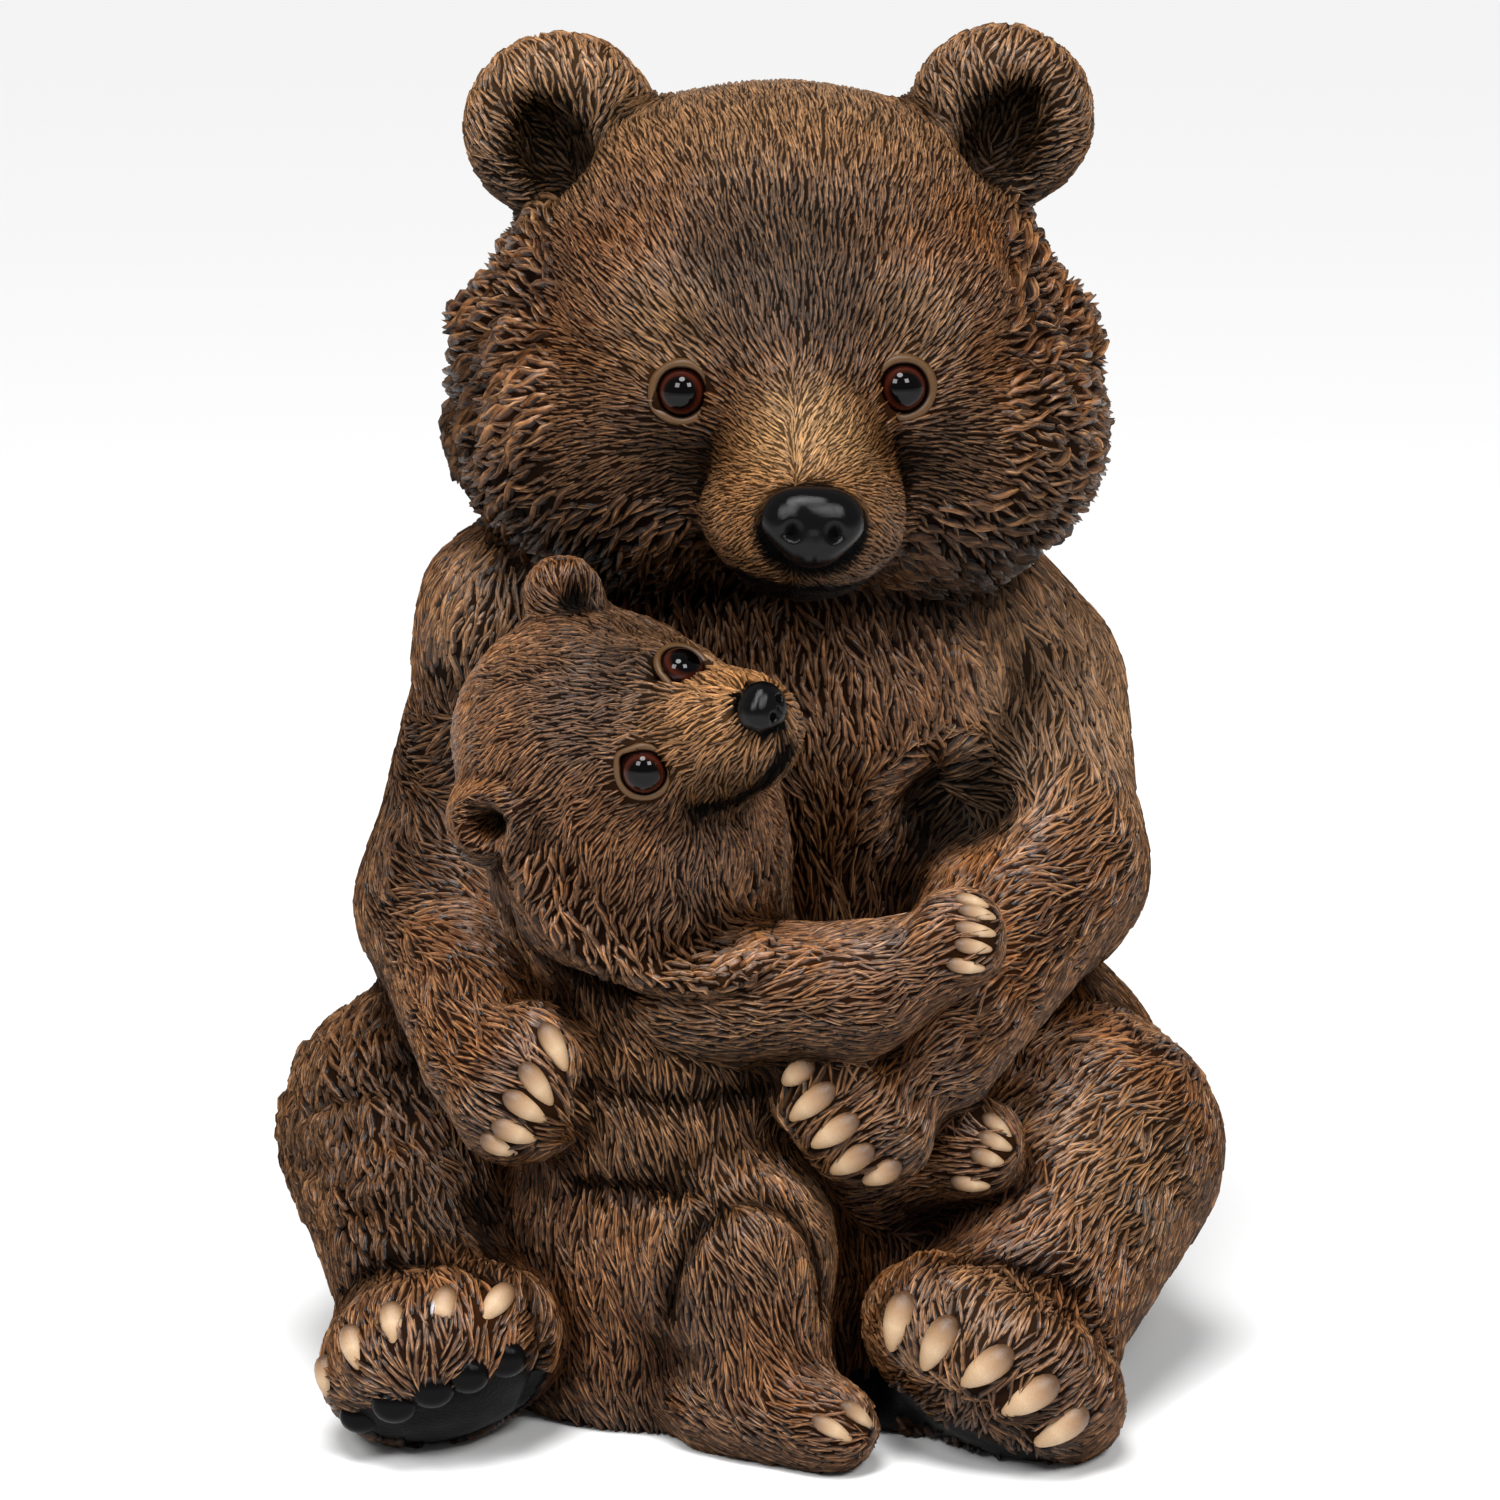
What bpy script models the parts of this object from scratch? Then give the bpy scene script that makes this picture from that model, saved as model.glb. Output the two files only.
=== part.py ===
"""Bear and cub statue: a seated mother bear holds her cub, cast as one in resin, with four glass eyes set in.

All the figure's places and sizes are in figure millimetres: real millimetres at the real HEIGHT.
+X is the viewer's right, -Y is towards the viewer, +Z is up, and the statue stands on z = 0.
"""

import math

import bmesh
import bpy
import numpy as np
from mathutils import Euler, Matrix, Vector

# Driving sizes, in metres
HEIGHT = 0.378
MOTHER_EYE = 0.014
CUB_EYE = 0.013
EYE_GAP = 0.0003

# One figure millimetre in metres: the pose, proportions and carving are shares of the height
MM = HEIGHT / 378

# How finely the clay is worked, in figure millimetres, and how many triangles the cast may have
COARSE_CLAY = 4.0
FINE_CLAY = 2.2
CLAY_PROBE = 0.4
CLAY_STEP = 4.0
CLAY_REACH = 12.0
CAST_TRIANGLES = 5200
ROLL_SIDES = 24
EYE_SIDES = 14
EYE_RINGS = 8
CLAW_SIDES = 6
CLAW_RINGS = 5
NOSE_SIDES = 10
NOSE_RINGS = 6
LID_SIDES = 5

# How far the clay goes on below the underside before it is cut off flat, in figure millimetres
CUT_OFF = 4.0
# How softly the cub's clay runs into the mother's, in figure millimetres
SEAM_BLEND = 5

# Toes and claws: how far a toe goes back along its claw and how thin it ends, and how far a claw
# stands up, flattens and thins, all as shares
TOE_BACK = 0.6
TOE_SHORT = 0.1
TOE_TAPER = 0.85
CLAW_RAISE = 0.25
CLAW_FLAT = 1.15
CLAW_ROUND = 0.6
CLAW_TAPER = 0.5

# Eyelids, in figure millimetres: how thick, how far in front of the middle of the ball, and how far
# outside it
LID_THICK = 1.3
LID_FORWARD = 3.2
LID_SPREAD = 0.7

# Colours, linear
CAST_BROWN = (0.11, 0.05, 0.02)
EYE_BLACK = (0.01, 0.006, 0.004)

# Paws: the radius of the toes, the half width of the claws, and for each claw where it starts and
# ends and the way its back faces
PAWS = {
    "left foot": {
        "toe": 8,
        "width": 2.9,
        "claws": [
            ((-113, -112, 27), (-114, -114, 20), (-0.9, -0.3, 0.1)),
            ((-106, -120, 38), (-105, -126, 32), (-0.7, -0.5, 0.5)),
            ((-95, -123, 45), (-95, -129, 40), (-0.4, -0.6, 0.7)),
            ((-81, -122, 49), (-83, -129, 43), (0, -0.6, 0.8)),
            ((-66, -116, 48), (-71, -124, 44), (0.4, -0.6, 0.7)),
        ],
    },
    "right foot": {
        "toe": 8,
        "width": 3.6,
        "claws": [
            ((42, -121, 47), (38, -124, 37), (-0.5, -0.8, 0.3)),
            ((53, -131, 44), (47, -132, 34), (-0.3, -0.9, 0.3)),
            ((67, -137, 38), (58, -138, 31), (0, -1, 0.1)),
            ((79, -137, 30), (69, -138, 23), (0.1, -1, 0)),
            ((87, -132, 20), (78, -134, 13), (0.2, -1, 0)),
        ],
    },
    "left hand": {
        "toe": 5.5,
        "width": 2.7,
        "claws": [
            ((-55, -102, 117), (-50, -106, 109), (0.2, -0.8, 0.6)),
            ((-60, -108, 108), (-54, -109, 100), (0.1, -1, 0.3)),
            ((-64, -109, 101), (-56, -109, 95), (0, -1, 0)),
            ((-67, -108, 93), (-59, -108, 89), (0, -1, -0.2)),
            ((-70, -106, 89), (-64, -106, 85), (-0.1, -0.9, -0.4)),
        ],
    },
    "right hand": {
        "toe": 5.5,
        "width": 2.9,
        "claws": [
            ((16, -109, 109), (10, -107, 105), (-0.2, -0.8, 0.5)),
            ((21, -113, 104), (12, -111, 96), (-0.1, -1, 0.2)),
            ((27, -114, 96), (18, -113, 89), (0, -1, 0)),
            ((31, -114, 88), (23, -111, 81), (0.1, -1, -0.2)),
            ((38, -111, 83), (32, -110, 78), (0.2, -0.9, -0.4)),
        ],
    },
    "cub hand": {
        "toe": 3,
        "width": 1.7,
        "claws": [
            ((55, -114, 156), (62, -115, 155), (0.3, -0.7, 0.7)),
            ((56, -117, 154), (64, -116, 152), (0.4, -0.8, 0.4)),
            ((55, -119, 150), (64, -118, 148), (0.4, -0.9, 0.2)),
            ((55, -121, 146), (63, -119, 144), (0.4, -0.9, 0)),
            ((53, -121, 141), (61, -120, 139), (0.3, -0.9, -0.3)),
        ],
    },
    "cub near foot": {
        "toe": 5,
        "width": 2.0,
        "claws": [
            ((18, -130, 17), (26, -132, 13), (0, -0.9, 0.5)),
            ((25, -128, 20), (32, -127, 15), (0.4, -0.6, 0.7)),
        ],
    },
    "cub far foot": {
        "toe": 4,
        "width": 1.9,
        "claws": [
            ((64, -90, 89), (70, -91, 85), (0.3, -0.7, 0.7)),
            ((63, -93, 85), (70, -93, 82), (0.2, -0.9, 0.3)),
            ((61, -95, 81), (68, -94, 78), (0.1, -1, 0.1)),
            ((56, -93, 73), (64, -93, 71), (0, -0.9, -0.3)),
        ],
    },
}

# Eyes: the middle of each glass ball, the way it looks, and its diameter
EYES = {
    "mother_left_eye": {"at": (-17.8, -70, 285.4), "facing": (-0.15, -0.98, 0.08), "ball": MOTHER_EYE},
    "mother_right_eye": {"at": (40.4, -70, 286.5), "facing": (0.2, -0.98, 0.08), "ball": MOTHER_EYE},
    "cub_upper_eye": {"at": (-18.5, -108, 216.3), "facing": (0.3, -0.6, 0.74), "ball": CUB_EYE},
    "cub_lower_eye": {"at": (-27.8, -118.6, 192.5), "facing": (0, -0.99, -0.05), "ball": CUB_EYE},
}


def lump(at, radii, turn=(0, 0, 0), blend=10):
    """An ellipsoid of clay. turn is its rotation about X, Y and Z in degrees."""
    axes = np.array(Euler([math.radians(a) for a in turn]).to_matrix())
    return {"at": np.array(at, float), "radii": np.array(radii, float), "axes": axes, "blend": blend}


def limb(start, end, thick, thin, blend=10):
    """A tapering roll of clay with round ends, thick at its start and thin at its end."""
    ends = {"start": np.array(start, float), "end": np.array(end, float)}
    return {**ends, "thick": thick, "thin": thin, "blend": blend}


def chain(points, radii, blend=10):
    """Rolls of clay end to end, through points, each with its own radius."""
    spans = zip(points, points[1:], radii, radii[1:])
    return [limb(a, b, r, s, blend) for a, b, r, s in spans]


def clear_scene():
    for thing in list(bpy.data.objects):
        bpy.data.objects.remove(thing)


def toes(paw):
    """A roll of clay under each claw of a paw."""
    rolls = []
    for root, tip, out in paw["claws"]:
        root, tip = np.array(root, float), np.array(tip, float)
        bed = (paw["toe"] + 1) * np.array(out) / np.linalg.norm(out)
        along = tip - root
        back, front = root - TOE_BACK * along - bed, tip - TOE_SHORT * along - bed
        rolls += [limb(back, front, paw["toe"], TOE_TAPER * paw["toe"], blend=4)]
    return rolls


def mother_trunk():
    return [
        lump((2, 36, 44), (108, 64, 74), blend=20),
        lump((4, 26, 122), (86, 66, 82), blend=30),
        lump((6, 22, 178), (82, 58, 52), blend=30),
        lump((6, 50, 190), (66, 46, 60), blend=24),
        lump((12, -18, 196), (56, 34, 40), blend=20),
        lump((-67, 8, 210), (27, 32, 27), blend=10),
        lump((62, 22, 208), (28, 34, 24), blend=14),
        limb((8, 26, 200), (8, 8, 262), 66, 60, blend=16),
    ]


def mother_head():
    skull = [
        lump((7, 2, 300), (76, 69, 59), blend=10),
        lump((8, 6, 326), (62, 50, 31), blend=14),
        lump((7, 4, 290), (92, 50, 34), blend=14),
        lump((7, 4, 264), (93, 54, 37), blend=14),
    ]
    cheeks = [
        lump((-34, -27, 264), (44, 41, 37), blend=18),
        lump((52, -27, 264), (44, 41, 37), blend=18),
        lump((-18, -46, 268), (26, 26, 30), blend=16),
        lump((40, -46, 268), (26, 26, 30), blend=16),
    ]
    brows = [
        lump((-19, -47, 304), (24, 16, 14), turn=(0, 12, 0), blend=18),
        lump((42, -47, 305), (24, 16, 14), turn=(0, -12, 0), blend=18),
        lump((-19, -54, 286), (14, 13, 13), blend=12),
        lump((42, -54, 287), (14, 13, 13), blend=12),
    ]
    muzzle = [
        limb((11, -50, 296), (15, -94, 262), 27, 15, blend=14),
        lump((14.5, -80, 253), (27, 34, 18), turn=(8, 0, 4), blend=14),
        lump((14.5, -78, 239), (18, 21, 8), blend=2),
    ]
    return skull + cheeks + brows + muzzle


def mother_ears():
    return [
        lump((-53, 4, 349.5), (26.5, 14, 25.5), turn=(0, 0, 14), blend=6),
        lump((70, 4, 352.5), (25.5, 14, 24.5), turn=(0, 0, -14), blend=6),
    ]


def mother_ear_hollows():
    return [
        lump((-54, -10, 344), (11, 13, 17), turn=(0, -24, 20), blend=5),
        lump((70, -10, 349), (10.5, 13, 18), turn=(0, 32, -20), blend=5),
    ]


def mother_arms():
    left = chain([(-68, 10, 190), (-84, -14, 131), (-71, -80, 105)], [27, 25, 18], blend=10)
    left += [lump((-61, -96, 99), (18, 13, 21), turn=(0, 33, 0), blend=8)]
    left += toes(PAWS["left hand"])
    right = chain([(76, 20, 186), (82, -18, 142), (48, -86, 107)], [31.5, 27.5, 18], blend=10)
    right += [lump((28, -101, 95), (24, 13, 17), turn=(0, 44, 0), blend=8)]
    right += toes(PAWS["right hand"])
    return left + right


def mother_legs():
    left = [
        lump((-80, 5, 54), (44, 62, 50), blend=16),
        limb((-94, -26, 68), (-90, -78, 38), 38, 23, blend=12),
        lump((-84, -97, 25.5), (33, 38, 24), turn=(-22, -21, 0), blend=10),
    ]
    right = [
        lump((80, 8, 56), (44, 62, 56), blend=16),
        limb((96, -32, 64), (78, -82, 36), 37.5, 27, blend=12),
        lump((66, -103, 24.5), (38, 38, 23), turn=(-22, 33, 0), blend=10),
        lump((46, -74, 8), (26, 24, 12), blend=10),
        lump((42, -46, 46), (30, 30, 34), blend=16),
    ]
    return left + toes(PAWS["left foot"]) + right + toes(PAWS["right foot"])


def whorl():
    """The pit in the fur on the mother's right upper arm."""
    return [lump((58, -37, 165), (17, 12, 11), blend=10)]


def soles():
    """What is pared off under the mother's feet, so that her soles are flat and face forwards."""
    return [
        lump((-82, -134, -8), (50, 44, 20), turn=(-34, -22, 0), blend=4),
        lump((72, -142, -10), (36, 44, 20), turn=(-34, 28, 0), blend=4),
    ]


def cub_trunk():
    return [
        lump((-20, -62, 96), (46, 44, 56), blend=20),
        lump((-22, -56, 32), (54, 45, 54), blend=20),
        lump((-30, -74, 152), (40, 36, 30), blend=14),
    ]


def cub_head():
    return [
        lump((-42, -78, 192), (38, 38, 35), blend=10),
        lump((-30, -78, 172), (38, 38, 28), blend=14),
        limb((-22, -98, 196), (-1, -119, 203), 22, 15, blend=8),
        limb((-20, -98, 182), (1, -117, 195), 12, 7.5, blend=2),
        lump((-22, -97, 210), (13, 12, 12), blend=8),
        lump((-29, -108, 191), (12, 11, 12), blend=8),
    ]


def cub_ears():
    return [
        lump((-50.5, -73, 231), (10.5, 7, 10.5), blend=6),
        lump((-69, -92, 173), (12.5, 9, 13), turn=(0, 0, -15), blend=4),
    ]


def cub_ear_hollows():
    return [
        lump((-46.5, -80, 230), (4, 5, 6), blend=2),
        lump((-65, -101, 175), (4, 5, 4.5), blend=3),
    ]


def cub_limbs():
    arm = chain([(-12, -92, 126), (28, -108, 130), (55, -110, 142)], [20, 16, 11], blend=6)
    arm += [lump((57, -110, 146), (10, 9, 12), blend=5)] + toes(PAWS["cub hand"])
    near_leg = [
        limb((-36, -62, 46), (-4, -96, 56), 32, 25, blend=10),
        limb((-3, -98, 54), (4, -104, 20), 24, 17, blend=8),
        limb((-6, -98, 14), (22, -120, 12), 17, 12, blend=8),
    ]
    far_leg = chain([(14, -50, 62), (40, -68, 74), (62, -82, 79)], [28, 16, 13], blend=8)
    far_leg += [limb((22, -58, 70), (26, -60, 24), 22, 24, blend=10)]
    return arm + near_leg + toes(PAWS["cub near foot"]) + far_leg + toes(PAWS["cub far foot"])


def noses():
    return [
        lump((16, -110, 256.5), (15.5, 9, 11), turn=(-16, 0, 3)),
        lump((3.2, -130.5, 211.5), (6.8, 6, 7.4), turn=(0, 0, 35)),
    ]


def clay_of():
    """The statue's clay in two groups, so that the cub meets its mother in a crease, and what is dug out."""
    mother = mother_trunk() + mother_head() + mother_ears() + mother_arms() + mother_legs()
    cub = cub_trunk() + cub_head() + cub_ears() + cub_limbs()
    return [mother, cub], mother_ear_hollows() + cub_ear_hollows() + whorl() + soles()


def reach_of(clay):
    """The middle and radius of a ball that holds a piece of clay."""
    if "at" in clay:
        return clay["at"], clay["radii"].max()
    middle = (clay["start"] + clay["end"]) / 2
    return middle, np.linalg.norm(clay["end"] - middle) + max(clay["thick"], clay["thin"])


def lump_distance(points, clay):
    local = (points - clay["at"]) @ clay["axes"]
    near = np.linalg.norm(local / clay["radii"], axis=1)
    steep = np.linalg.norm(local / clay["radii"] ** 2, axis=1)
    return near * (near - 1) / np.maximum(steep, 1e-9)


def limb_distance(points, clay):
    """The exact distance to a roll with round ends of two radii."""
    axis = clay["end"] - clay["start"]
    long = axis @ axis
    taper = clay["thick"] - clay["thin"]
    slant = long - taper**2
    from_start = points - clay["start"]
    along = from_start @ axis
    beyond = along - long
    across = ((from_start * long - axis * along[:, None]) ** 2).sum(1)
    before2, beyond2 = along**2 * long, beyond**2 * long
    side = np.sign(taper) * taper**2 * across
    far = np.sign(beyond) * slant * beyond2 > side
    close = np.sign(along) * slant * before2 < side
    middle = (np.sqrt(across * slant / long) + along * taper) / long - clay["thick"]
    start_end = np.sqrt(across + before2) / long - clay["thick"]
    far_end = np.sqrt(across + beyond2) / long - clay["thin"]
    return np.where(far, far_end, np.where(close, start_end, middle))


def clay_distance(points, clay):
    return lump_distance(points, clay) if "at" in clay else limb_distance(points, clay)


def blended(a, b, blend):
    """The nearer of two distances, with the crease between them filled over a width of blend."""
    share = np.maximum(blend - np.abs(a - b), 0) / blend
    return np.minimum(a, b) - share**2 * blend / 4


def surface_distance(points, groups, hollows):
    """How far each point is outside the modelled surface, negative inside."""
    whole = np.full(len(points), 1e3)
    for group in groups:
        part = np.full(len(points), 1e3)
        for clay in group:
            middle, radius = reach_of(clay)
            near = np.linalg.norm(points - middle, axis=1) < radius + clay["blend"] + CLAY_REACH
            part[near] = blended(part[near], clay_distance(points[near], clay), clay["blend"])
        whole = blended(whole, part, SEAM_BLEND)
    for clay in hollows:
        middle, radius = reach_of(clay)
        near = np.linalg.norm(points - middle, axis=1) < radius + clay["blend"] + CLAY_REACH
        whole[near] = -blended(-whole[near], clay_distance(points[near], clay), clay["blend"])
    return np.maximum(whole, -points[:, 2] - CUT_OFF)


def worked(mesh, groups, hollows, rounds):
    """Moves a mesh's points onto the modelled surface, along its slope."""
    points = np.empty(len(mesh.vertices) * 3)
    mesh.vertices.foreach_get("co", points)
    points = points.reshape(-1, 3)
    corners = np.array([(1, -1, -1), (-1, -1, 1), (-1, 1, -1), (1, 1, 1)], float)
    for _ in range(rounds):
        samples = [surface_distance(points + c * CLAY_PROBE, groups, hollows) for c in corners]
        slope = sum(c * s[:, None] for c, s in zip(corners, samples)) / (4 * CLAY_PROBE)
        height = sum(samples) / 4
        steep = np.maximum((slope**2).sum(1), 0.25)
        points -= slope * np.clip(height / steep, -CLAY_STEP, CLAY_STEP)[:, None]
    mesh.vertices.foreach_set("co", points.ravel())
    mesh.update()
    return mesh


def mesh_of(clay, into):
    """Adds a piece of clay to a bmesh as a plain ball or roll."""
    if "at" in clay:
        turn = Matrix(clay["axes"].tolist()).to_4x4()
        place = Matrix.Translation(clay["at"]) @ turn @ Matrix.Diagonal((*clay["radii"], 1))
        bmesh.ops.create_icosphere(into, subdivisions=3, radius=1, matrix=place)
        return
    start, end = Vector(clay["start"]), Vector(clay["end"])
    for at, radius in ((start, clay["thick"]), (end, clay["thin"])):
        bmesh.ops.create_icosphere(into, subdivisions=3, radius=radius, matrix=Matrix.Translation(at))
    turn = (end - start).to_track_quat("Z", "Y").to_matrix().to_4x4()
    bmesh.ops.create_cone(
        into,
        segments=ROLL_SIDES,
        cap_ends=True,
        radius1=clay["thick"],
        radius2=clay["thin"],
        depth=(end - start).length,
        matrix=Matrix.Translation((start + end) / 2) @ turn,
    )


def object_of(name, mesh):
    thing = bpy.data.objects.new(name, mesh)
    bpy.context.scene.collection.objects.link(thing)
    return thing


def modified(thing, kind, **settings):
    """The mesh of an object once a modifier has been at it."""
    modifier = thing.modifiers.new(kind.title(), kind)
    for key, value in settings.items():
        setattr(modifier, key, value)
    graph = bpy.context.evaluated_depsgraph_get()
    mesh = bpy.data.meshes.new_from_object(thing.evaluated_get(graph))
    thing.modifiers.clear()
    return mesh


def remeshed(mesh, size):
    """A mesh's outer skin, in even faces of one size."""
    thing = object_of("Skin", mesh)
    skin = modified(thing, "REMESH", mode="VOXEL", voxel_size=size)
    bpy.data.objects.remove(thing)
    return skin


def modelled(groups, hollows, coarse, fine):
    """The statue's surface: all the clay joined, its creases filled and its hollows dug."""
    joined = bmesh.new()
    for clay in groups[0] + groups[1]:
        mesh_of(clay, joined)
    mesh = bpy.data.meshes.new("Clay")
    joined.to_mesh(mesh)
    joined.free()
    mesh = worked(remeshed(mesh, coarse), groups, hollows, 5)
    mesh = worked(remeshed(mesh, fine), groups, hollows, 4)
    return worked(remeshed(mesh, fine), groups, hollows, 3)


def made_smaller(name, mesh, triangles):
    """A named object of a mesh, brought down to a number of triangles and to metres."""
    spare = object_of(name + "_fine", mesh)
    modified_mesh = modified(spare, "TRIANGULATE")
    share = triangles / len(modified_mesh.polygons)
    bpy.data.objects.remove(spare)
    spare = object_of(name + "_fine", modified_mesh)
    small = modified(spare, "DECIMATE", ratio=share, use_collapse_triangulate=True)
    bpy.data.objects.remove(spare)
    small.transform(Matrix.Scale(MM, 4))
    return object_of(name, small)


def cut_flat(thing):
    """Cuts an object off flat at z = 0, where it stands."""
    into = bmesh.new()
    into.from_mesh(thing.data)
    every = into.verts[:] + into.edges[:] + into.faces[:]
    cut = bmesh.ops.bisect_plane(into, geom=every, plane_co=(0, 0, 0), plane_no=(0, 0, -1), clear_outer=True)
    rim = [part for part in cut["geom_cut"] if isinstance(part, bmesh.types.BMEdge)]
    bmesh.ops.triangle_fill(into, edges=rim, use_beauty=True)
    bmesh.ops.recalc_face_normals(into, faces=into.faces)
    into.to_mesh(thing.data)
    into.free()


def ball_mesh(name, eye, radius):
    """A ball whose poles lie on the line that the eye looks along."""
    into = bmesh.new()
    turn = Vector(eye["facing"]).to_track_quat("Z", "Y").to_matrix().to_4x4()
    place = Matrix.Translation(Vector(eye["at"]) * MM) @ turn
    bmesh.ops.create_uvsphere(into, u_segments=EYE_SIDES, v_segments=EYE_RINGS, radius=radius, matrix=place)
    mesh = bpy.data.meshes.new(name)
    into.to_mesh(mesh)
    into.free()
    return mesh


def finished(thing, colour, roughness):
    """Smooth faces and a plain material of its own."""
    for face in thing.data.polygons:
        face.use_smooth = True
    material = bpy.data.materials.new(thing.name)
    material.use_nodes = True
    surface = material.node_tree.nodes["Principled BSDF"]
    surface.inputs["Base Color"].default_value = (*colour, 1)
    surface.inputs["Roughness"].default_value = roughness
    thing.data.materials.clear()
    thing.data.materials.append(material)


def added(statue, mesh):
    """Joins a small solid to the statue so that the two are one."""
    extra = object_of("Extra", mesh)
    extra.hide_render = True
    extra.display_type = "WIRE"
    statue.data = modified(statue, "BOOLEAN", operation="UNION", solver="EXACT", object=extra)
    bpy.data.objects.remove(extra)


def shaped_ball(place, sides, rings, taper=0.0):
    """A ball stretched by place, and thinner by the share taper where it ends."""
    into = bmesh.new()
    bmesh.ops.create_uvsphere(into, u_segments=sides, v_segments=rings, radius=1)
    for vertex in into.verts:
        thin = 1 - taper * (vertex.co.z + 1) / 2
        vertex.co.x, vertex.co.y = vertex.co.x * thin, vertex.co.y * thin
    into.transform(place)
    mesh = bpy.data.meshes.new("Ball")
    into.to_mesh(mesh)
    into.free()
    return mesh


def claw_mesh(root, tip, out, width):
    """A claw that thins to its tip, with its back raised over the fur."""
    root, tip, out = Vector(root), Vector(tip), Vector(out).normalized()
    along = (tip - root).normalized()
    side = along.cross(out).normalized()
    turn = Matrix((side, side.cross(along) * -1, along)).transposed().to_4x4()
    middle = (root + tip) / 2 + out * width * CLAW_RAISE
    size = Matrix.Diagonal((width * CLAW_FLAT, width, (tip - root).length / 2 + width * CLAW_ROUND, 1))
    place = Matrix.Scale(MM, 4) @ Matrix.Translation(middle) @ turn @ size
    return shaped_ball(place, CLAW_SIDES, CLAW_RINGS, CLAW_TAPER)


def lid_mesh(eye):
    """A ring of clay round an eye."""
    into = bmesh.new()
    facing = Vector(eye["facing"]).normalized()
    turn = facing.to_track_quat("Z", "Y").to_matrix().to_4x4()
    place = Matrix.Translation(Vector(eye["at"]) + facing * LID_FORWARD) @ turn
    radius = math.sqrt((eye["ball"] / MM / 2) ** 2 - LID_FORWARD**2) + LID_SPREAD
    ring = bmesh.ops.create_circle(into, segments=LID_SIDES, radius=LID_THICK)
    bmesh.ops.rotate(into, verts=ring["verts"], matrix=Matrix.Rotation(math.pi / 2, 3, "X"))
    bmesh.ops.translate(into, verts=ring["verts"], vec=(radius, 0, 0))
    profile = into.verts[:] + into.edges[:]
    bmesh.ops.spin(into, geom=profile, axis=(0, 0, 1), steps=EYE_SIDES, angle=2 * math.pi)
    bmesh.ops.remove_doubles(into, verts=into.verts, dist=0.001)
    bmesh.ops.recalc_face_normals(into, faces=into.faces)
    into.transform(Matrix.Scale(MM, 4) @ place)
    mesh = bpy.data.meshes.new("Lid")
    into.to_mesh(mesh)
    into.free()
    return mesh


def dressed(statue):
    """Puts the claws, noses and eyelids on the cast."""
    for paw in PAWS.values():
        for root, tip, out in paw["claws"]:
            added(statue, claw_mesh(root, tip, out, paw["width"]))
    for nose in noses():
        turn = Matrix(nose["axes"].tolist()).to_4x4()
        place = Matrix.Translation(nose["at"]) @ turn @ Matrix.Diagonal((*nose["radii"], 1))
        added(statue, shaped_ball(Matrix.Scale(MM, 4) @ place, NOSE_SIDES, NOSE_RINGS))
    for eye in EYES.values():
        added(statue, lid_mesh(eye))


def socketed(statue):
    """Cuts a ball-shaped socket for each glass eye, EYE_GAP wider all round than the eye."""
    for name, eye in EYES.items():
        cutter = object_of(name + "_socket", ball_mesh(name + "_socket", eye, eye["ball"] / 2 + EYE_GAP))
        cutter.hide_render = True
        cutter.display_type = "WIRE"
        cut = modified(statue, "BOOLEAN", operation="DIFFERENCE", solver="EXACT", object=cutter)
        statue.data = cut
        bpy.data.objects.remove(cutter)


# Statue: cast resin, one solid
clear_scene()
statue_clay, statue_hollows = clay_of()
statue = made_smaller("statue", modelled(statue_clay, statue_hollows, COARSE_CLAY, FINE_CLAY), CAST_TRIANGLES)
cut_flat(statue)
dressed(statue)
socketed(statue)
finished(statue, CAST_BROWN, 0.7)

# Eyes: glass balls, each held in its socket
for eye_name, eye_place in EYES.items():
    glass = object_of(eye_name, ball_mesh(eye_name, eye_place, eye_place["ball"] / 2))
    finished(glass, EYE_BLACK, 0.05)
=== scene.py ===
"""Looks of the bear and cub statue: a painted resin casting with carved fur, claws, noses and glass eyes.

Places and sizes are in figure millimetres, which are real millimetres at the statue's real height.
+X is the viewer's right, -Y is towards the viewer, +Z is up.
"""

import math

import bmesh
import bpy
import numpy as np
from mathutils import Matrix, Vector


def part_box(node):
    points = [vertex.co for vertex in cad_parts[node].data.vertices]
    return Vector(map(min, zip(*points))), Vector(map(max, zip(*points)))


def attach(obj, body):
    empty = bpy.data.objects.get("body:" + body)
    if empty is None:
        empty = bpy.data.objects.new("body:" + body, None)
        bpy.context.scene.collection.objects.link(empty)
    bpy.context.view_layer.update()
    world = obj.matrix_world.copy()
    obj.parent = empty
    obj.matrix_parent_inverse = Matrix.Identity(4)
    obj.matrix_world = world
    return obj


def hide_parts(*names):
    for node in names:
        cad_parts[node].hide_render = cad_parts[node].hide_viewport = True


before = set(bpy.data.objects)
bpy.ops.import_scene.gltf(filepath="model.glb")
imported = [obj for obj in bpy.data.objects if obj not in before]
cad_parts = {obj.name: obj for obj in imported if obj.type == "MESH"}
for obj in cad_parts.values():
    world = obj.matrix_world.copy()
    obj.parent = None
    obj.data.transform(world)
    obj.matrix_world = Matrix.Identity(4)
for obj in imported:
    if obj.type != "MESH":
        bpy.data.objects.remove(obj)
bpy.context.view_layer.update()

# The casting
# Mother and cub are one hollow casting of filled polyester resin, lifted from a soft mould. This is
# its form under the fur: the solid, with its facets smoothed away as a modeller's thumb would.
FIGURE_HEIGHT = 377.2
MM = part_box("statue")[1].z / FIGURE_HEIGHT
SKIN_FACE = 2.28
SKIN_ROUNDS = 20
PULL_IN, PUSH_OUT = 0.5, -0.52


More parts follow.
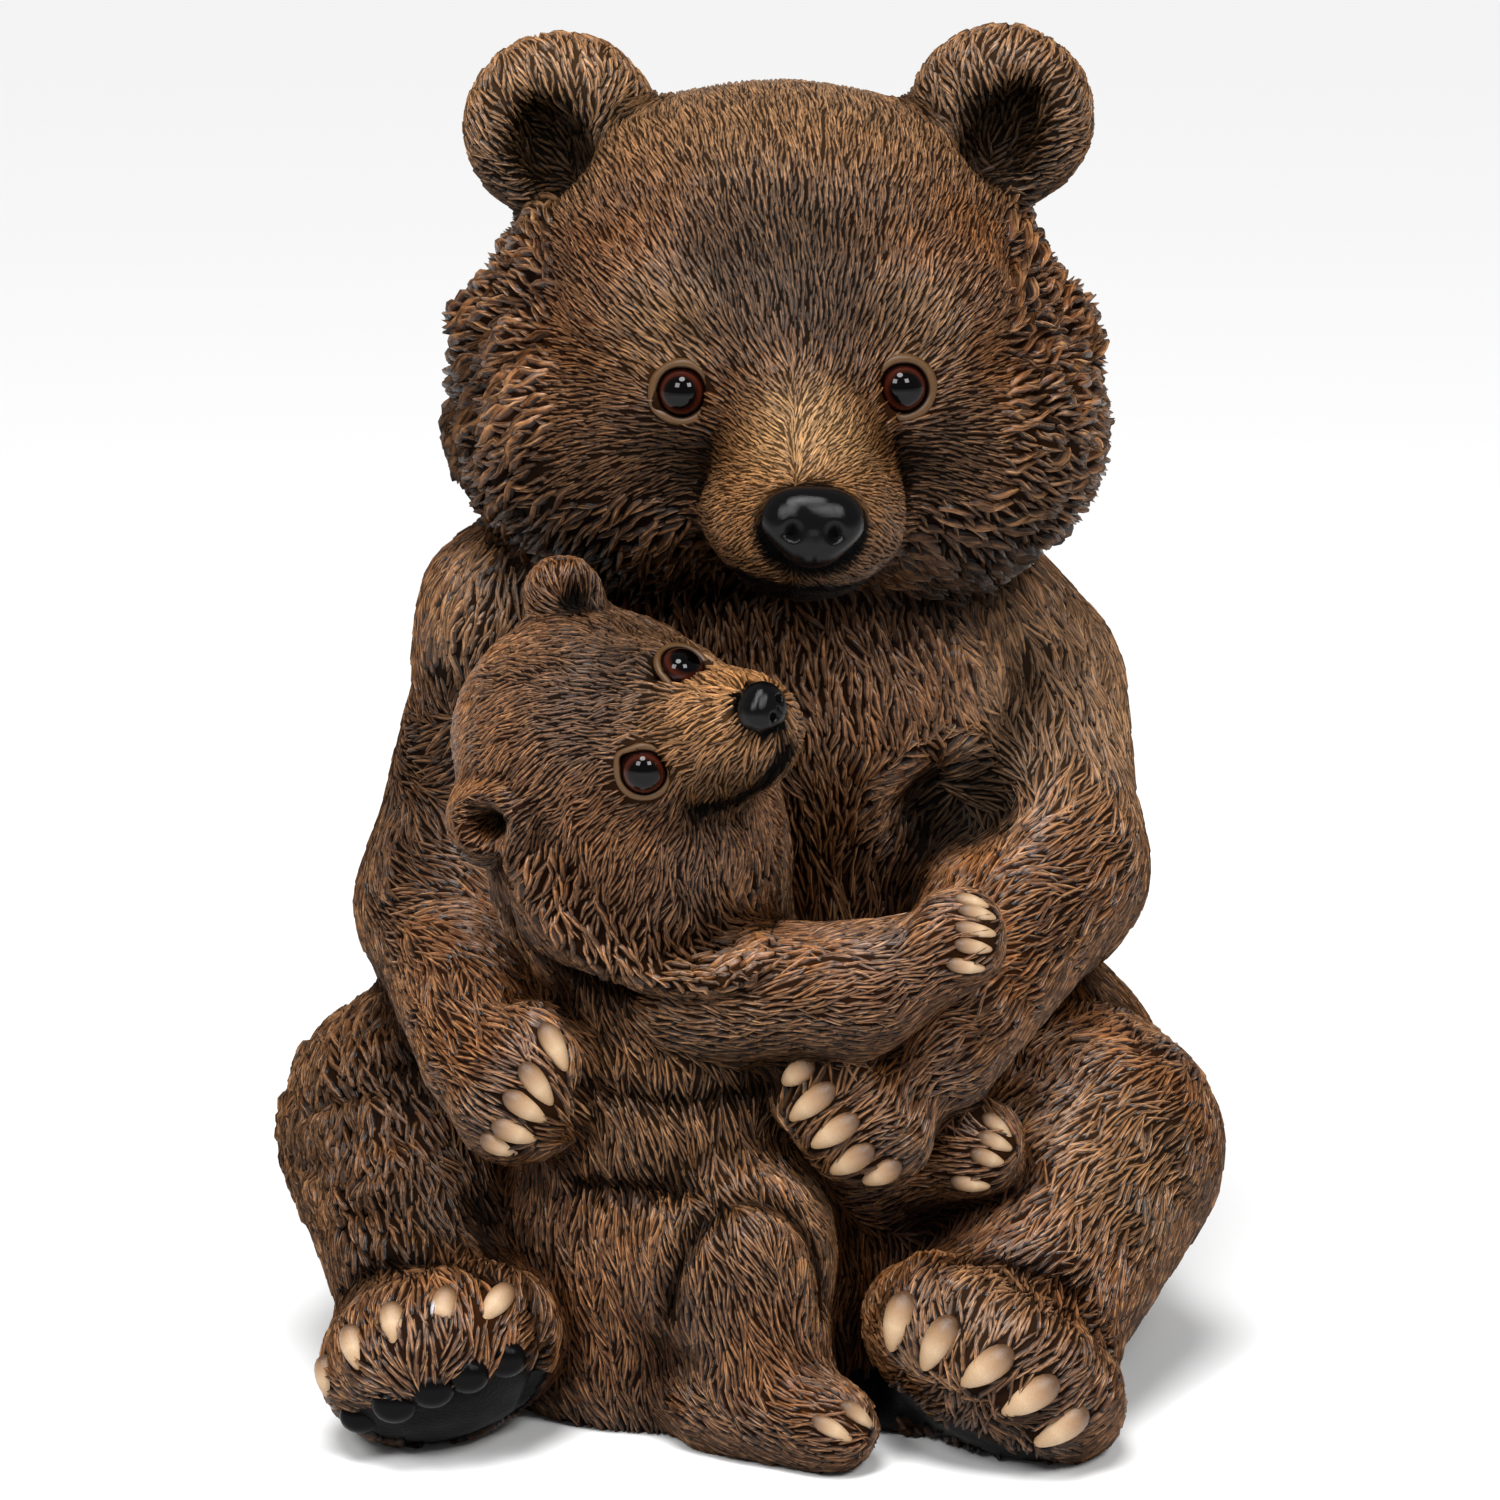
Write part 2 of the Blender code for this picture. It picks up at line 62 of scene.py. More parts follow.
def linear(hex_colour):
    """A colour's linear values, from its sRGB hex."""
    parts = [int(hex_colour[i : i + 2], 16) / 255 for i in (1, 3, 5)]
    return tuple(p / 12.92 if p <= 0.04045 else ((p + 0.055) / 1.055) ** 2.4 for p in parts)


def object_of(name, mesh):
    thing = bpy.data.objects.new(name, mesh)
    bpy.context.scene.collection.objects.link(thing)
    return thing


def made_plain(thing):
    """Makes an object's modified shape its own mesh."""
    graph = bpy.context.evaluated_depsgraph_get()
    mesh = bpy.data.meshes.new_from_object(thing.evaluated_get(graph))
    thing.modifiers.clear()
    thing.data = mesh
    mesh.name = thing.name


def places_of(mesh):
    found = np.empty(len(mesh.vertices) * 3)
    mesh.vertices.foreach_get("co", found)
    return found.reshape(-1, 3)


def neighbours(mesh):
    """The two ends of every edge of a mesh, and how many edges each point has."""
    pairs = np.empty(len(mesh.edges) * 2, np.int32)
    mesh.edges.foreach_get("vertices", pairs)
    first, second = pairs.reshape(-1, 2).T
    return first, second, np.bincount(pairs, minlength=len(mesh.vertices))[:, None]


def averaged(values, around):
    """The mean of each point's neighbours."""
    first, second, count = around
    columns = [np.ascontiguousarray(column) for column in values.T]
    return np.stack([
        np.bincount(first, column[second], len(values)) + np.bincount(second, column[first], len(values))
        for column in columns
    ], 1) / count


def node(tree, kind, links=None, **settings):
    """Adds a node. settings are its properties, or its inputs' values; links go into its inputs."""
    made = tree.nodes.new(kind)
    for key, value in settings.items():
        if hasattr(made, key):
            setattr(made, key, value)
    sockets = {s.name.lower().replace(" ", "_"): s for s in reversed(made.inputs) if s.enabled}
    for key, value in settings.items():
        if not hasattr(made, key):
            sockets[key].default_value = value
    for key, source in (links or {}).items():
        target = made.inputs[key] if isinstance(key, int) else sockets[key]
        tree.links.new(source, target)
    return made


def out(made, name=None):
    """A node's output: the first one in use, or the one in use with a name."""
    return next(s for s in made.outputs if s.enabled and (name is None or s.name == name))


def surface(name):
    """A new material with its shader, ready for its nodes."""
    material = bpy.data.materials.new(name)
    material.use_nodes = True
    return material, material.node_tree, material.node_tree.nodes["Principled BSDF"]


def keep(mesh, name, kind, values):
    """Keeps one value for each point of a mesh."""
    found = mesh.attributes.get(name) or mesh.attributes.new(name, kind, "POINT")
    key = {"FLOAT": "value", "FLOAT_VECTOR": "vector", "FLOAT_COLOR": "color"}[kind]
    found.data.foreach_set(key, np.ascontiguousarray(values, np.float32).ravel())


whole = bmesh.new()
whole.from_mesh(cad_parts["statue"].data)
bmesh.ops.remove_doubles(whole, verts=whole.verts, dist=0.00001)
casting = object_of("casting", bpy.data.meshes.new("casting"))
whole.to_mesh(casting.data)
whole.free()
casting.modifiers.new("Skin", "REMESH").voxel_size = SKIN_FACE * MM
made_plain(casting)
around = neighbours(casting.data)
at = places_of(casting.data)
for step in [PULL_IN, PUSH_OUT] * SKIN_ROUNDS:
    at += step * (averaged(at, around) - at)
casting.data.vertices.foreach_set("co", at.ravel())
casting.data.update()

# Creases and ledges
# The sculptor pressed a tool between the forms, and built up the rim of the cub's near ear and the
# ledge of its ruff, before any fur was cut. WHORL is the middle of the pit beside mother's arm.
SKIN = places_of(casting.data) / MM
WHORL = np.array((57, -27, 164))
SKIN[:, 1] -= 4.5 * np.exp(-((SKIN - WHORL) ** 2).sum(1) / 11**2)


def point_normals(mesh):
    found = np.empty(len(mesh.vertices) * 3)
    mesh.vertices.foreach_get("normal", found)
    return found.reshape(-1, 3)


def ramp(values, low, high):
    """0 below low and 1 above high, with a smooth rise between them."""
    share = np.clip((values - low) / (high - low), 0, 1)
    return share * share * (3 - 2 * share)


def from_line(ends):
    """How far each point of the casting is from a bent line."""
    nearest = np.full(len(SKIN), 1e9)
    for start, end in zip(np.array(ends[:-1], float), np.array(ends[1:], float)):
        share = np.clip((SKIN - start) @ (end - start) / max((end - start) @ (end - start), 1e-6), 0, 1)
        nearest = np.minimum(nearest, np.linalg.norm(SKIN - start - share[:, None] * (end - start), axis=1))
    return nearest


# Each crease is its line, half width and depth
CREASES = [
    ([(-22, -112, 41), (-19, -118, 58), (-11, -117, 70), (-1, -115, 75), (10, -113, 70), (17, -112, 59),
      (20, -107, 41)], 3.0, 3.0),
    ([(-84, -40, 175), (-80, -80, 170), (-75, -80, 150), (-62, -92, 137), (-51, -92, 125)], 3.5, 3.0),
    ([(-72, -92, 156), (-61, -90, 134), (-36, -101, 128), (-12, -105, 134), (4, -97, 144)], 3.2, 4.0),
    ([(-46, -104, 102), (-23, -106, 98), (2, -101, 99), (11, -108, 104)], 3.0, 2.5),
    ([(-46, -95, 72), (-27, -105, 74), (-14, -113, 77)], 3.0, 2.5),
    ([(-75, -80, 63), (-69, -95, 50), (-60, -109, 46), (-57, -112, 34), (-60, -105, 14)], 3.0, 2.5),
    ([(-111, -90, 40), (-102, -95, 49), (-88, -102, 52), (-71, -113, 51)], 3.0, 1.8),
    ([(35, -110, 44), (48, -115, 56), (68, -104, 55), (89, -105, 46)], 3.0, 1.8),
    ([(-9, -74, 274), (-13, -78, 262), (-11, -76, 250), (-8, -68, 243)], 2.6, 1.8),
    ([(39, -74, 274), (42, -78, 262), (41, -82, 252), (37, -76, 244)], 2.6, 1.8),
]
crease_shade = np.zeros(len(SKIN))
sunk = np.zeros(len(SKIN))
for ends, half, depth in CREASES:
    gap = from_line(ends)
    sunk = np.maximum(sunk, depth * np.exp(-((gap / half) ** 2)))
    crease_shade = np.maximum(crease_shade, np.exp(-((gap / (1.5 * half)) ** 2)))
SKIN -= sunk[:, None] * point_normals(casting.data)

# The rim and hollow of the cub's near ear, and the ledge of its ruff from there to under its chin
EAR = np.array((-68.5, 0, 174.5))
EAR_RIM, EAR_RAISE, EAR_DEEP = 8.0, 4.5, 4.5
RUFF_MIDDLE, RUFF_SPAN, RUFF_RAISE = np.array((-20, 0, 178)), (46, 45), 5.5
front = (SKIN[:, 1] < -72) & (SKIN[:, 1] > -125)
from_ear = np.hypot(*(SKIN - EAR).T[[0, 2]])
ear_form = EAR_RAISE * np.exp(-(((from_ear - EAR_RIM) / 2.6) ** 2))
ear_form -= EAR_DEEP * np.exp(-((from_ear / 4.2) ** 4))
SKIN += (front * ear_form)[:, None] * np.array((-0.35, -0.9, 0.1))
rim_share = np.hypot(*((SKIN - RUFF_MIDDLE)[:, [0, 2]] / RUFF_SPAN).T)
lower = np.clip((RUFF_MIDDLE[2] - 6 - SKIN[:, 2]) / 8, 0, 1) * np.clip((10 - SKIN[:, 0]) / 10, 0, 1)
lower *= np.clip((SKIN[:, 0] + 74) / 6, 0, 1) * front
ledge = np.exp(-(((rim_share - 0.99) / np.where(rim_share < 0.99, 0.16, 0.035)) ** 2))
SKIN += (RUFF_RAISE * lower * ledge)[:, None] * np.array((0, -0.9, -0.35))
casting.data.vertices.foreach_set("co", (SKIN * MM).ravel())
casting.data.update()

# The lie of the fur
# The sculptor worked the clay one part of the body at a time. For each part this says which way its
# fur lies: along a line, away from a point, or both.
NOSE = np.array((15, -108, 262))
CUB_NOSE = np.array((3, -128, 209))
BLEED = 2.5
PARTS = []


def part(group, ends, radii, along=(0, 0, 0), away=None):
    """One part of a body, as a lump (one end, three radii) or a roll (two ends, two radii)."""
    ends, radii = np.array(ends, float), np.array(radii, float)
    if len(ends) == 1:
        outside = (np.linalg.norm((SKIN - ends[0]) / radii, axis=1) - 1) * radii.min()
    else:
        axis = ends[1] - ends[0]
        share = np.clip((SKIN - ends[0]) @ axis / (axis @ axis), 0, 1)
        gap = np.linalg.norm(SKIN - ends[0] - share[:, None] * axis, axis=1)
        outside = gap - radii[0] - (radii[1] - radii[0]) * share
    lie = np.tile(np.array(along, float), (len(SKIN), 1))
    if away is not None:
        spoke = SKIN - np.array(away, float)
        lie += spoke / np.linalg.norm(spoke, axis=1)[:, None]
    PARTS.append((group, np.exp(-np.clip(outside, -BLEED, 60) / BLEED), lie))


# Mother's trunk: down
part("body", [(2, 36, 44)], (108, 64, 74), along=(0, 0, -1))
part("body", [(4, 26, 122)], (86, 66, 82), along=(0, 0, -1))
part("body", [(6, 22, 178)], (82, 58, 52), along=(0, 0, -1))
part("body", [(6, 50, 190)], (66, 46, 60), along=(0, 0, -1))
part("body", [(12, -18, 196)], (56, 34, 40), along=(0.15, 0, -1))
part("body", [(-67, 8, 210)], (27, 32, 27), along=(-0.25, 0, -1))
part("body", [(62, 22, 208)], (28, 34, 24), along=(0.5, -0.1, -1))
part("head", [(8, 26, 200), (8, 8, 262)], (66, 60), along=(0, 0, -1))
# Mother's head: back from her nose, and down behind
part("head", [(7, 2, 300)], (76, 69, 59), away=NOSE)
part("head", [(8, 6, 326)], (62, 50, 31), away=NOSE)
part("head", [(7, 4, 290)], (92, 50, 34), along=(0, 0.2, -0.4), away=NOSE)
part("head", [(7, 4, 264)], (93, 54, 37), along=(0, 0.2, -0.7), away=NOSE)
part("head", [(-34, -27, 264)], (44, 41, 37), along=(0, 0, -0.35), away=NOSE)
part("head", [(52, -27, 264)], (44, 41, 37), along=(0, 0, -0.35), away=NOSE)
part("head", [(11, -50, 296), (15, -94, 262)], (27, 15), away=NOSE)
part("head", [(14.5, -80, 253)], (27, 34, 18), away=NOSE)
part("ears", [(-53, 4, 349.5)], (26.5, 14, 25.5), away=(-50, 2, 336))
part("ears", [(70, 4, 352.5)], (25.5, 14, 24.5), away=(66, 2, 338))
# Mother's arms: towards her claws
part("arms", [(-68, 10, 190), (-84, -14, 131)], (27, 25), along=(0.1, -0.2, -1))
part("arms", [(-84, -14, 131), (-71, -80, 105)], (25, 18), along=(0.5, -0.8, -0.5))
part("arms", [(-61, -96, 99)], (18, 13, 21), along=(0.8, -0.5, -0.5))
part("arms", [(76, 20, 186), (82, -18, 142)], (31.5, 27.5), along=(0, -0.3, -1))
part("arms", [(82, -18, 142), (48, -86, 107)], (27.5, 18), along=(-0.8, -0.6, -0.35))
part("arms", [(28, -101, 95)], (24, 13, 17), along=(-0.7, -0.4, -0.55))
# Mother's legs: forwards and down, then towards her claws
part("legs", [(-80, 5, 54)], (44, 62, 50), along=(0, -0.5, -1))
part("legs", [(-94, -26, 68), (-90, -78, 38)], (38, 23), along=(0.3, -0.4, -1))
part("legs", [(-84, -97, 25.5)], (33, 38, 24), along=(0.1, -0.8, -0.5))
part("legs", [(80, 8, 56)], (44, 62, 56), along=(0, -0.5, -1))
part("legs", [(96, -32, 64), (78, -82, 36)], (37.5, 27), along=(-0.7, -0.4, -0.7))
part("legs", [(66, -103, 24.5)], (38, 38, 23), along=(-0.4, -0.8, -0.4))
# Cub's trunk and limbs: down, and towards its claws
part("cub", [(-20, -62, 96)], (46, 44, 56), along=(0.2, 0, -1))
part("cub", [(-22, -56, 32)], (54, 45, 54), along=(0, 0, -1))
part("cub", [(-30, -74, 152)], (40, 36, 30), along=(0.1, 0, -1))
part("cub", [(-12, -92, 126), (28, -108, 130)], (20, 16), along=(1, -0.2, 0.1))
part("cub", [(28, -108, 130), (57, -110, 145)], (16, 11), along=(1, 0, 0.3))
part("cub", [(-36, -62, 46), (-4, -96, 56)], (32, 25), along=(0.5, 0, -1))
part("cub", [(-3, -98, 54), (4, -104, 20)], (24, 17), along=(0.1, 0, -1))
part("cub", [(-6, -98, 14), (22, -120, 12)], (17, 12), along=(1, -0.6, -0.2))
part("cub", [(14, -50, 62), (62, -82, 79)], (28, 13), along=(1, -0.5, 0.2))
part("cub", [(22, -58, 70), (26, -60, 24)], (22, 24), along=(0, 0, -1))
# Cub's head: back from its nose
part("cub_head", [(-42, -78, 192)], (38, 38, 35), along=(-0.2, 0, -0.3), away=CUB_NOSE)
part("cub_head", [(-30, -78, 172)], (38, 38, 28), along=(0, 0, -0.7), away=CUB_NOSE)
part("cub_head", [(-22, -98, 196), (-1, -119, 203)], (22, 15), away=CUB_NOSE)
part("cub_head", [(-50.5, -73, 231)], (10.5, 7, 10.5), away=(-48, -74, 222))
part("cub_head", [(-69, -92, 173)], (12.5, 9, 13), away=(-62, -90, 176))

groups = {}
lie = np.zeros_like(SKIN)
for group, weight, direction in PARTS:
    groups[group] = groups.get(group, 0) + weight
    lie += weight[:, None] * direction
total = sum(groups.values())
groups = {name: weight / total for name, weight in groups.items()}
lie /= total[:, None]


def waves(places, length, seed):
    """Smooth noise between -1 and 1, about length figure millimetres from crest to crest."""
    draw = np.random.default_rng(seed)
    turns = draw.normal(size=(5, 3)) * 2 * math.pi / length
    return np.sin(places @ turns.T + draw.uniform(0, 2 * math.pi, 5)).sum(1) / 2.5


# The ruff, the left thigh and the cub's ruff stand in clumps
head = groups["head"]
aside = np.abs(SKIN[:, 0] - 8)
thigh = groups["legs"] * ramp(-SKIN[:, 0], 84, 98) * ramp(SKIN[:, 2], 46, 60)
clumps = head * ramp(aside, 58, 76) * (1.6 * waves(SKIN, 17, seed=5) - 1.8)
clumps += 1.2 * thigh * waves(SKIN, 15, seed=6)
clumps += 1.0 * groups["cub_head"] * lower * ramp(rim_share, 0.6, 0.75) * waves(SKIN, 11, seed=7)
SKIN += clumps[:, None] * point_normals(casting.data)
casting.data.vertices.foreach_set("co", (SKIN * MM).ravel())
casting.data.update()

# Guide strokes: places where the fur turns another way, how far that goes, and where it points.
# The last number is how strongly it counts. None means away from the place, or towards it where the
# number is negative.
GUIDES = [
    ((82, -48, 150), 20, (-1, -0.2, -0.1), 3),
    ((92, -40, 135), 16, (-0.6, -0.3, -0.7), 2),
    ((-84, -42, 138), 18, (1, -0.3, -0.1), 3),
    ((-104, -20, 140), 12, (0, -0.2, -1), 3),
    (WHORL + (0, -14, 0), 16, None, 8),
    ((110, -50, 80), 20, (-0.9, -0.3, -0.4), 3),
    ((128, -20, 60), 18, (0, -0.3, -1), 3),
    ((-80, -15, 186), 26, None, -2),
]
for place, reach, pointing, strength in GUIDES:
    gap = SKIN - np.array(place, float)
    near = strength * np.exp(-(gap**2).sum(1) / reach**2)[:, None]
    if pointing is None:
        lie += near * gap / np.maximum(np.linalg.norm(gap, axis=1), 1e-6)[:, None]
    else:
        lie += near * np.array(pointing, float) / np.linalg.norm(pointing)

# Down the bridge of mother's nose the fur parts to both sides
PARTING = 11
parting = head * np.tanh((SKIN[:, 0] - PARTING) / 3) * np.exp(-np.abs(SKIN[:, 0] - PARTING) / 16)
lie[:, 0] += 0.9 * parting * (SKIN[:, 1] < -30) * ramp(305 - SKIN[:, 2], 0, 20)

up = point_normals(casting.data)
lie -= up * (lie * up).sum(1)[:, None]
lie /= np.maximum(np.linalg.norm(lie, axis=1), 1e-6)[:, None]
SWAY = 0.45
sway = SWAY * waves(SKIN, 22, seed=3) * (1 - 0.65 * head)
lie = lie * np.cos(sway)[:, None] + np.cross(up, lie) * np.sin(sway)[:, None]

# Coats of paint
# The casting is sprayed mid brown and tinted in dabs. Its colour also holds painted shade and light:
# darker in its hollows and on what faces down, lighter on what is raised and faces up, and the same
# measure sets how much tan is dry-brushed on the fur. Each dab is a place, its reach, a colour and how
# much of it there is.
COOL_COAT, WARM_COAT = "#492D1D", "#5C3416"
RELIEFS = [(18, -0.9, 0.35), (85, -3.0, 1.8)]
TINTS_PAINTED_LIGHT_AND_SHADE = [
    # The crown and ear tops are lighter, partly painted light from above.
    ((8, -10, 345), 46, "#6E5238", 0.8),
    ((-53, -10, 356), 30, "#76573A", 0.85),
    ((70, -10, 358), 30, "#6A4D34", 0.8),
    (NOSE + (0, 12, -2), 30, "#80552A", 0.88),
    (NOSE + (0, 14, 15), 16, "#9A7850", 0.75),
    ((8, -62, 316), 36, "#2E231B", 0.88),
    ((-24, -66, 302), 15, "#6A4A28", 0.7),
    ((46, -66, 304), 14, "#5E4326", 0.6),
    # Dark below mother's eyes, on her cheeks and the sides of her head and under her jaw: painted shade.
    ((-24, -74, 270), 14, "#1D130B", 0.85),
    ((54, -74, 270), 14, "#23170E", 0.8),
    ((-46, -62, 262), 26, "#2E1B0C", 0.8),
    ((72, -58, 262), 24, "#3A2412", 0.6),
    ((-84, -8, 262), 42, "#25170E", 0.9),
    ((-50, -34, 236), 26, "#2B180A", 0.85),
    ((60, -34, 236), 28, "#2B180A", 0.85),
    ((96, 0, 262), 30, "#33210F", 0.6),
    (CUB_NOSE + (-10, 8, -4), 24, "#8A6038", 0.85),
    ((-34, -94, 214), 30, "#2A1F18", 0.88),
    ((-68, -80, 190), 22, "#6E421E", 0.6),
    # Near black in mother's ear hollows, the pit beside her arm, under her chin and the cub's ear hollows,
    # and dark under her head: painted shade, in the ears partly their own dark paint.
    ((-54, -13, 343), 18.5, "#050302", 1.0),
    ((70, -13, 348), 18.5, "#050302", 1.0),
    ((57, -28, 164), 18, "#170E07", 1.0),
    ((0, -96, 230), 12, "#120B06", 0.97),
    ((16, -100, 228), 13, "#120B06", 0.97),
    ((32, -90, 229), 12, "#120B06", 0.97),
    ((-46.5, -80, 230), 6, "#0B0705", 1.0),
    ((-65, -101, 175), 5.5, "#0B0705", 1.0),
    ((10, -50, 222), 30, "#301B0C", 0.75),
    # Dark on the outer sides of mother's left leg and arm and on her shins, light on her right shoulder and
    # knee: partly painted shade and light from above.
    ((-112, -40, 78), 42, "#2C1D12", 0.8),
    ((-94, -88, 52), 30, "#2A1C12", 0.8),
    ((-98, -10, 166), 42, "#281B12", 0.8),
    ((-72, -14, 214), 20, "#523A28", 0.7),
    ((-12, -104, 100), 44, "#583A1F", 0.7),
    ((88, -6, 186), 42, "#745840", 0.8),
    ((104, -76, 72), 26, "#61472F", 0.6),
    ((62, -128, 42), 20, "#5F4530", 0.6),
    ((20, -112, 60), 16, "#5A3F28", 0.4),
    ((92, -66, 40), 22, "#2A1C12", 0.6),
]
MOUTHS = [
    [(-7, -86, 241), (-1, -98, 240), (6, -103, 239.5), (16, -104, 239), (25, -99, 239), (34, -88, 240),
     (39, -79, 241)],
    [(10, -129, 200), (9, -129, 197), (5, -128, 193), (0, -122, 188), (-4, -117, 184), (-13, -116, 182)],
]
SOLES = [
    ((-100, -121, 9), 10), ((-90, -126, 13), 11), ((-78, -125, 17), 12), ((-66, -119, 19), 12),
    ((-62, -108, 12), 13), ((-82, -114, 3), 13),
    ((36, -98, 14), 9), ((46, -108, 11), 10), ((58, -118, 6), 9), ((70, -121, 1), 8), ((34, -88, 8), 10),
]


# Painted shade: darker the deeper a point lies in a hollow, at two sizes, and the more it faces down.
worn = np.ones(len(SKIN))
soft = SKIN.copy()
for rounds, deep, proud in RELIEFS:
    for _ in range(rounds):
        soft += PULL_IN * (averaged(soft, around) - soft)
    worn *= 0.25 + 0.75 * ramp(((SKIN - soft) * up).sum(1), deep, proud)
worn *= 0.3 + 0.7 * ramp(up[:, 2], -0.9, 0.0)
warm = ramp(waves(SKIN, 60, seed=8), -1.0, 1.0)[:, None]
coat = np.array(linear(COOL_COAT)) * (1 - warm) + np.array(linear(WARM_COAT)) * warm
for place, reach, paint, amount in TINTS_PAINTED_LIGHT_AND_SHADE:
    gap = np.linalg.norm(SKIN - np.array(place, float), axis=1)
    share = amount * np.exp(-((gap / reach) ** 4))[:, None]
    coat = coat * (1 - share) + np.array(linear(paint)) * share
# Painted shade: the creases between the forms are darkened.
coat *= 1 - 0.8 * crease_shade[:, None]
dim = np.clip(coat.sum(1) / sum(linear(COOL_COAT)), 0, 1)
# Painted light and shade: the coat is scaled by that measure, and lighter on what faces up.
coat *= ((0.32 + 1.2 * worn) * (0.8 + 0.32 * up[:, 2]))[:, None]
BLACK = "#030303"
black = np.zeros(len(SKIN))
for place, radius in SOLES:
    black = np.maximum(black, 1 - ramp(np.linalg.norm(SKIN - np.array(place), axis=1), radius, radius + 2))
mouths = np.minimum(from_line(MOUTHS[0]), from_line(MOUTHS[1]))
noses = np.minimum(
    np.linalg.norm((SKIN - (16, -110, 255)) / (14, 10, 11.5), axis=1),
    np.linalg.norm((SKIN - (3.2, -130.5, 211.5)) / (7.5, 7, 8), axis=1),
)
# Painted shade: under mother's mouth her chin is painted near black. Soles, mouth lines and noses are black
# paint.
chin = head * ramp(239.5 - SKIN[:, 2], 0, 2) * ramp(-SKIN[:, 1], 70, 84)
dark = np.max([black, 0.85 * chin, 0.95 * (1 - ramp(mouths, 2.6, 5.4)), 1 - ramp(noses, 1.0, 1.25)], axis=0)
dark = dark[:, None]
coat = coat * (1 - dark) + np.array(linear(BLACK)) * dark

# Where the fur of each length grows: short towards the noses, and none on eyes, noses, claws and soles
EYES = {
    "mother_left_eye": ((-17.8, -70, 285.4), (-0.15, -0.98, 0.08), 7.0),
    "mother_right_eye": ((40.4, -70, 286.5), (0.2, -0.98, 0.08), 7.0),
    "cub_upper_eye": ((-18.5, -108, 216.3), (0.3, -0.6, 0.74), 6.5),
    "cub_lower_eye": ((-27.8, -118.6, 192.5), (0, -0.99, -0.05), 6.5),
}
CLAWS = {
    "left_foot": (2.9, [
        ((-113, -112, 27), (-114, -114, 20), (-0.9, -0.3, 0.1)),
        ((-106, -120, 38), (-105, -126, 32), (-0.7, -0.5, 0.5)),
        ((-95, -123, 45), (-95, -129, 40), (-0.4, -0.6, 0.7)),
        ((-81, -122, 49), (-83, -129, 43), (0, -0.6, 0.8)),
        ((-66, -116, 48), (-71, -124, 44), (0.4, -0.6, 0.7)),
    ]),
    "right_foot": (3.6, [
        ((42, -121, 47), (38, -124, 37), (-0.5, -0.8, 0.3)),
        ((53, -131, 44), (47, -132, 34), (-0.3, -0.9, 0.3)),
        ((67, -137, 38), (58, -138, 31), (0, -1, 0.1)),
        ((79, -137, 30), (69, -138, 23), (0.1, -1, 0)),
        ((87, -132, 20), (78, -134, 13), (0.2, -1, 0)),
    ]),
    "left_hand": (2.7, [
        ((-55, -102, 117), (-50, -106, 109), (0.2, -0.8, 0.6)),
        ((-60, -108, 108), (-54, -109, 100), (0.1, -1, 0.3)),
        ((-64, -109, 101), (-56, -109, 95), (0, -1, 0)),
        ((-67, -108, 93), (-59, -108, 89), (0, -1, -0.2)),
        ((-70, -106, 89), (-64, -106, 85), (-0.1, -0.9, -0.4)),
    ]),
    "right_hand": (2.9, [
        ((16, -109, 109), (10, -107, 105), (-0.2, -0.8, 0.5)),
        ((21, -113, 104), (12, -111, 96), (-0.1, -1, 0.2)),
        ((27, -114, 96), (18, -113, 89), (0, -1, 0)),
        ((31, -114, 88), (23, -111, 81), (0.1, -1, -0.2)),
        ((38, -111, 83), (32, -110, 78), (0.2, -0.9, -0.4)),
    ]),
    "cub_hand": (1.7, [
        ((55, -114, 156), (62, -115, 155), (0.3, -0.7, 0.7)),
        ((56, -117, 154), (64, -116, 152), (0.4, -0.8, 0.4)),
        ((55, -119, 150), (64, -118, 148), (0.4, -0.9, 0.2)),
        ((55, -121, 146), (63, -119, 144), (0.4, -0.9, 0)),
        ((53, -121, 141), (61, -120, 139), (0.3, -0.9, -0.3)),
    ]),
    "cub_near_foot": (2.0, [
        ((18, -130, 17), (26, -132, 13), (0, -0.9, 0.5)),
        ((25, -128, 20), (32, -127, 15), (0.4, -0.6, 0.7)),
    ]),
    "cub_far_foot": (1.9, [
        ((64, -90, 89), (70, -91, 85), (0.3, -0.7, 0.7)),
        ((63, -93, 85), (70, -93, 82), (0.2, -0.9, 0.3)),
        ((61, -95, 81), (68, -94, 78), (0.1, -1, 0.1)),
        ((56, -93, 73), (64, -93, 71), (0, -0.9, -0.3)),
    ]),
}
BROKEN = ("left_foot", 3)
MOTHER_NOSE = ((16, -110, 256), (13.2, 9, 10.4))
CUB_SNOUT = ((3.2, -130.5, 211.5), (6.8, 6, 7.4))
from_nose = np.linalg.norm(SKIN - NOSE, axis=1)
bare = (1 - black) * ramp(mouths, 1.2, 2.4) * ramp(SKIN[:, 2], 0.8, 1.5)
for place, _, radius in EYES.values():
    bare *= ramp(np.linalg.norm(SKIN - np.array(place), axis=1), radius + 2.2, radius + 3.2)
for place, size in (MOTHER_NOSE, CUB_SNOUT):
    bare *= ramp(np.linalg.norm((SKIN - place) / size, axis=1), 1.0, 1.15)
for paw, (width, claws) in CLAWS.items():
    for count, (root, tip, _) in enumerate(claws):
        end = root if (paw, count) == BROKEN else tip
        bare *= ramp(from_line([root, end]), width - 0.3, width + 0.9)

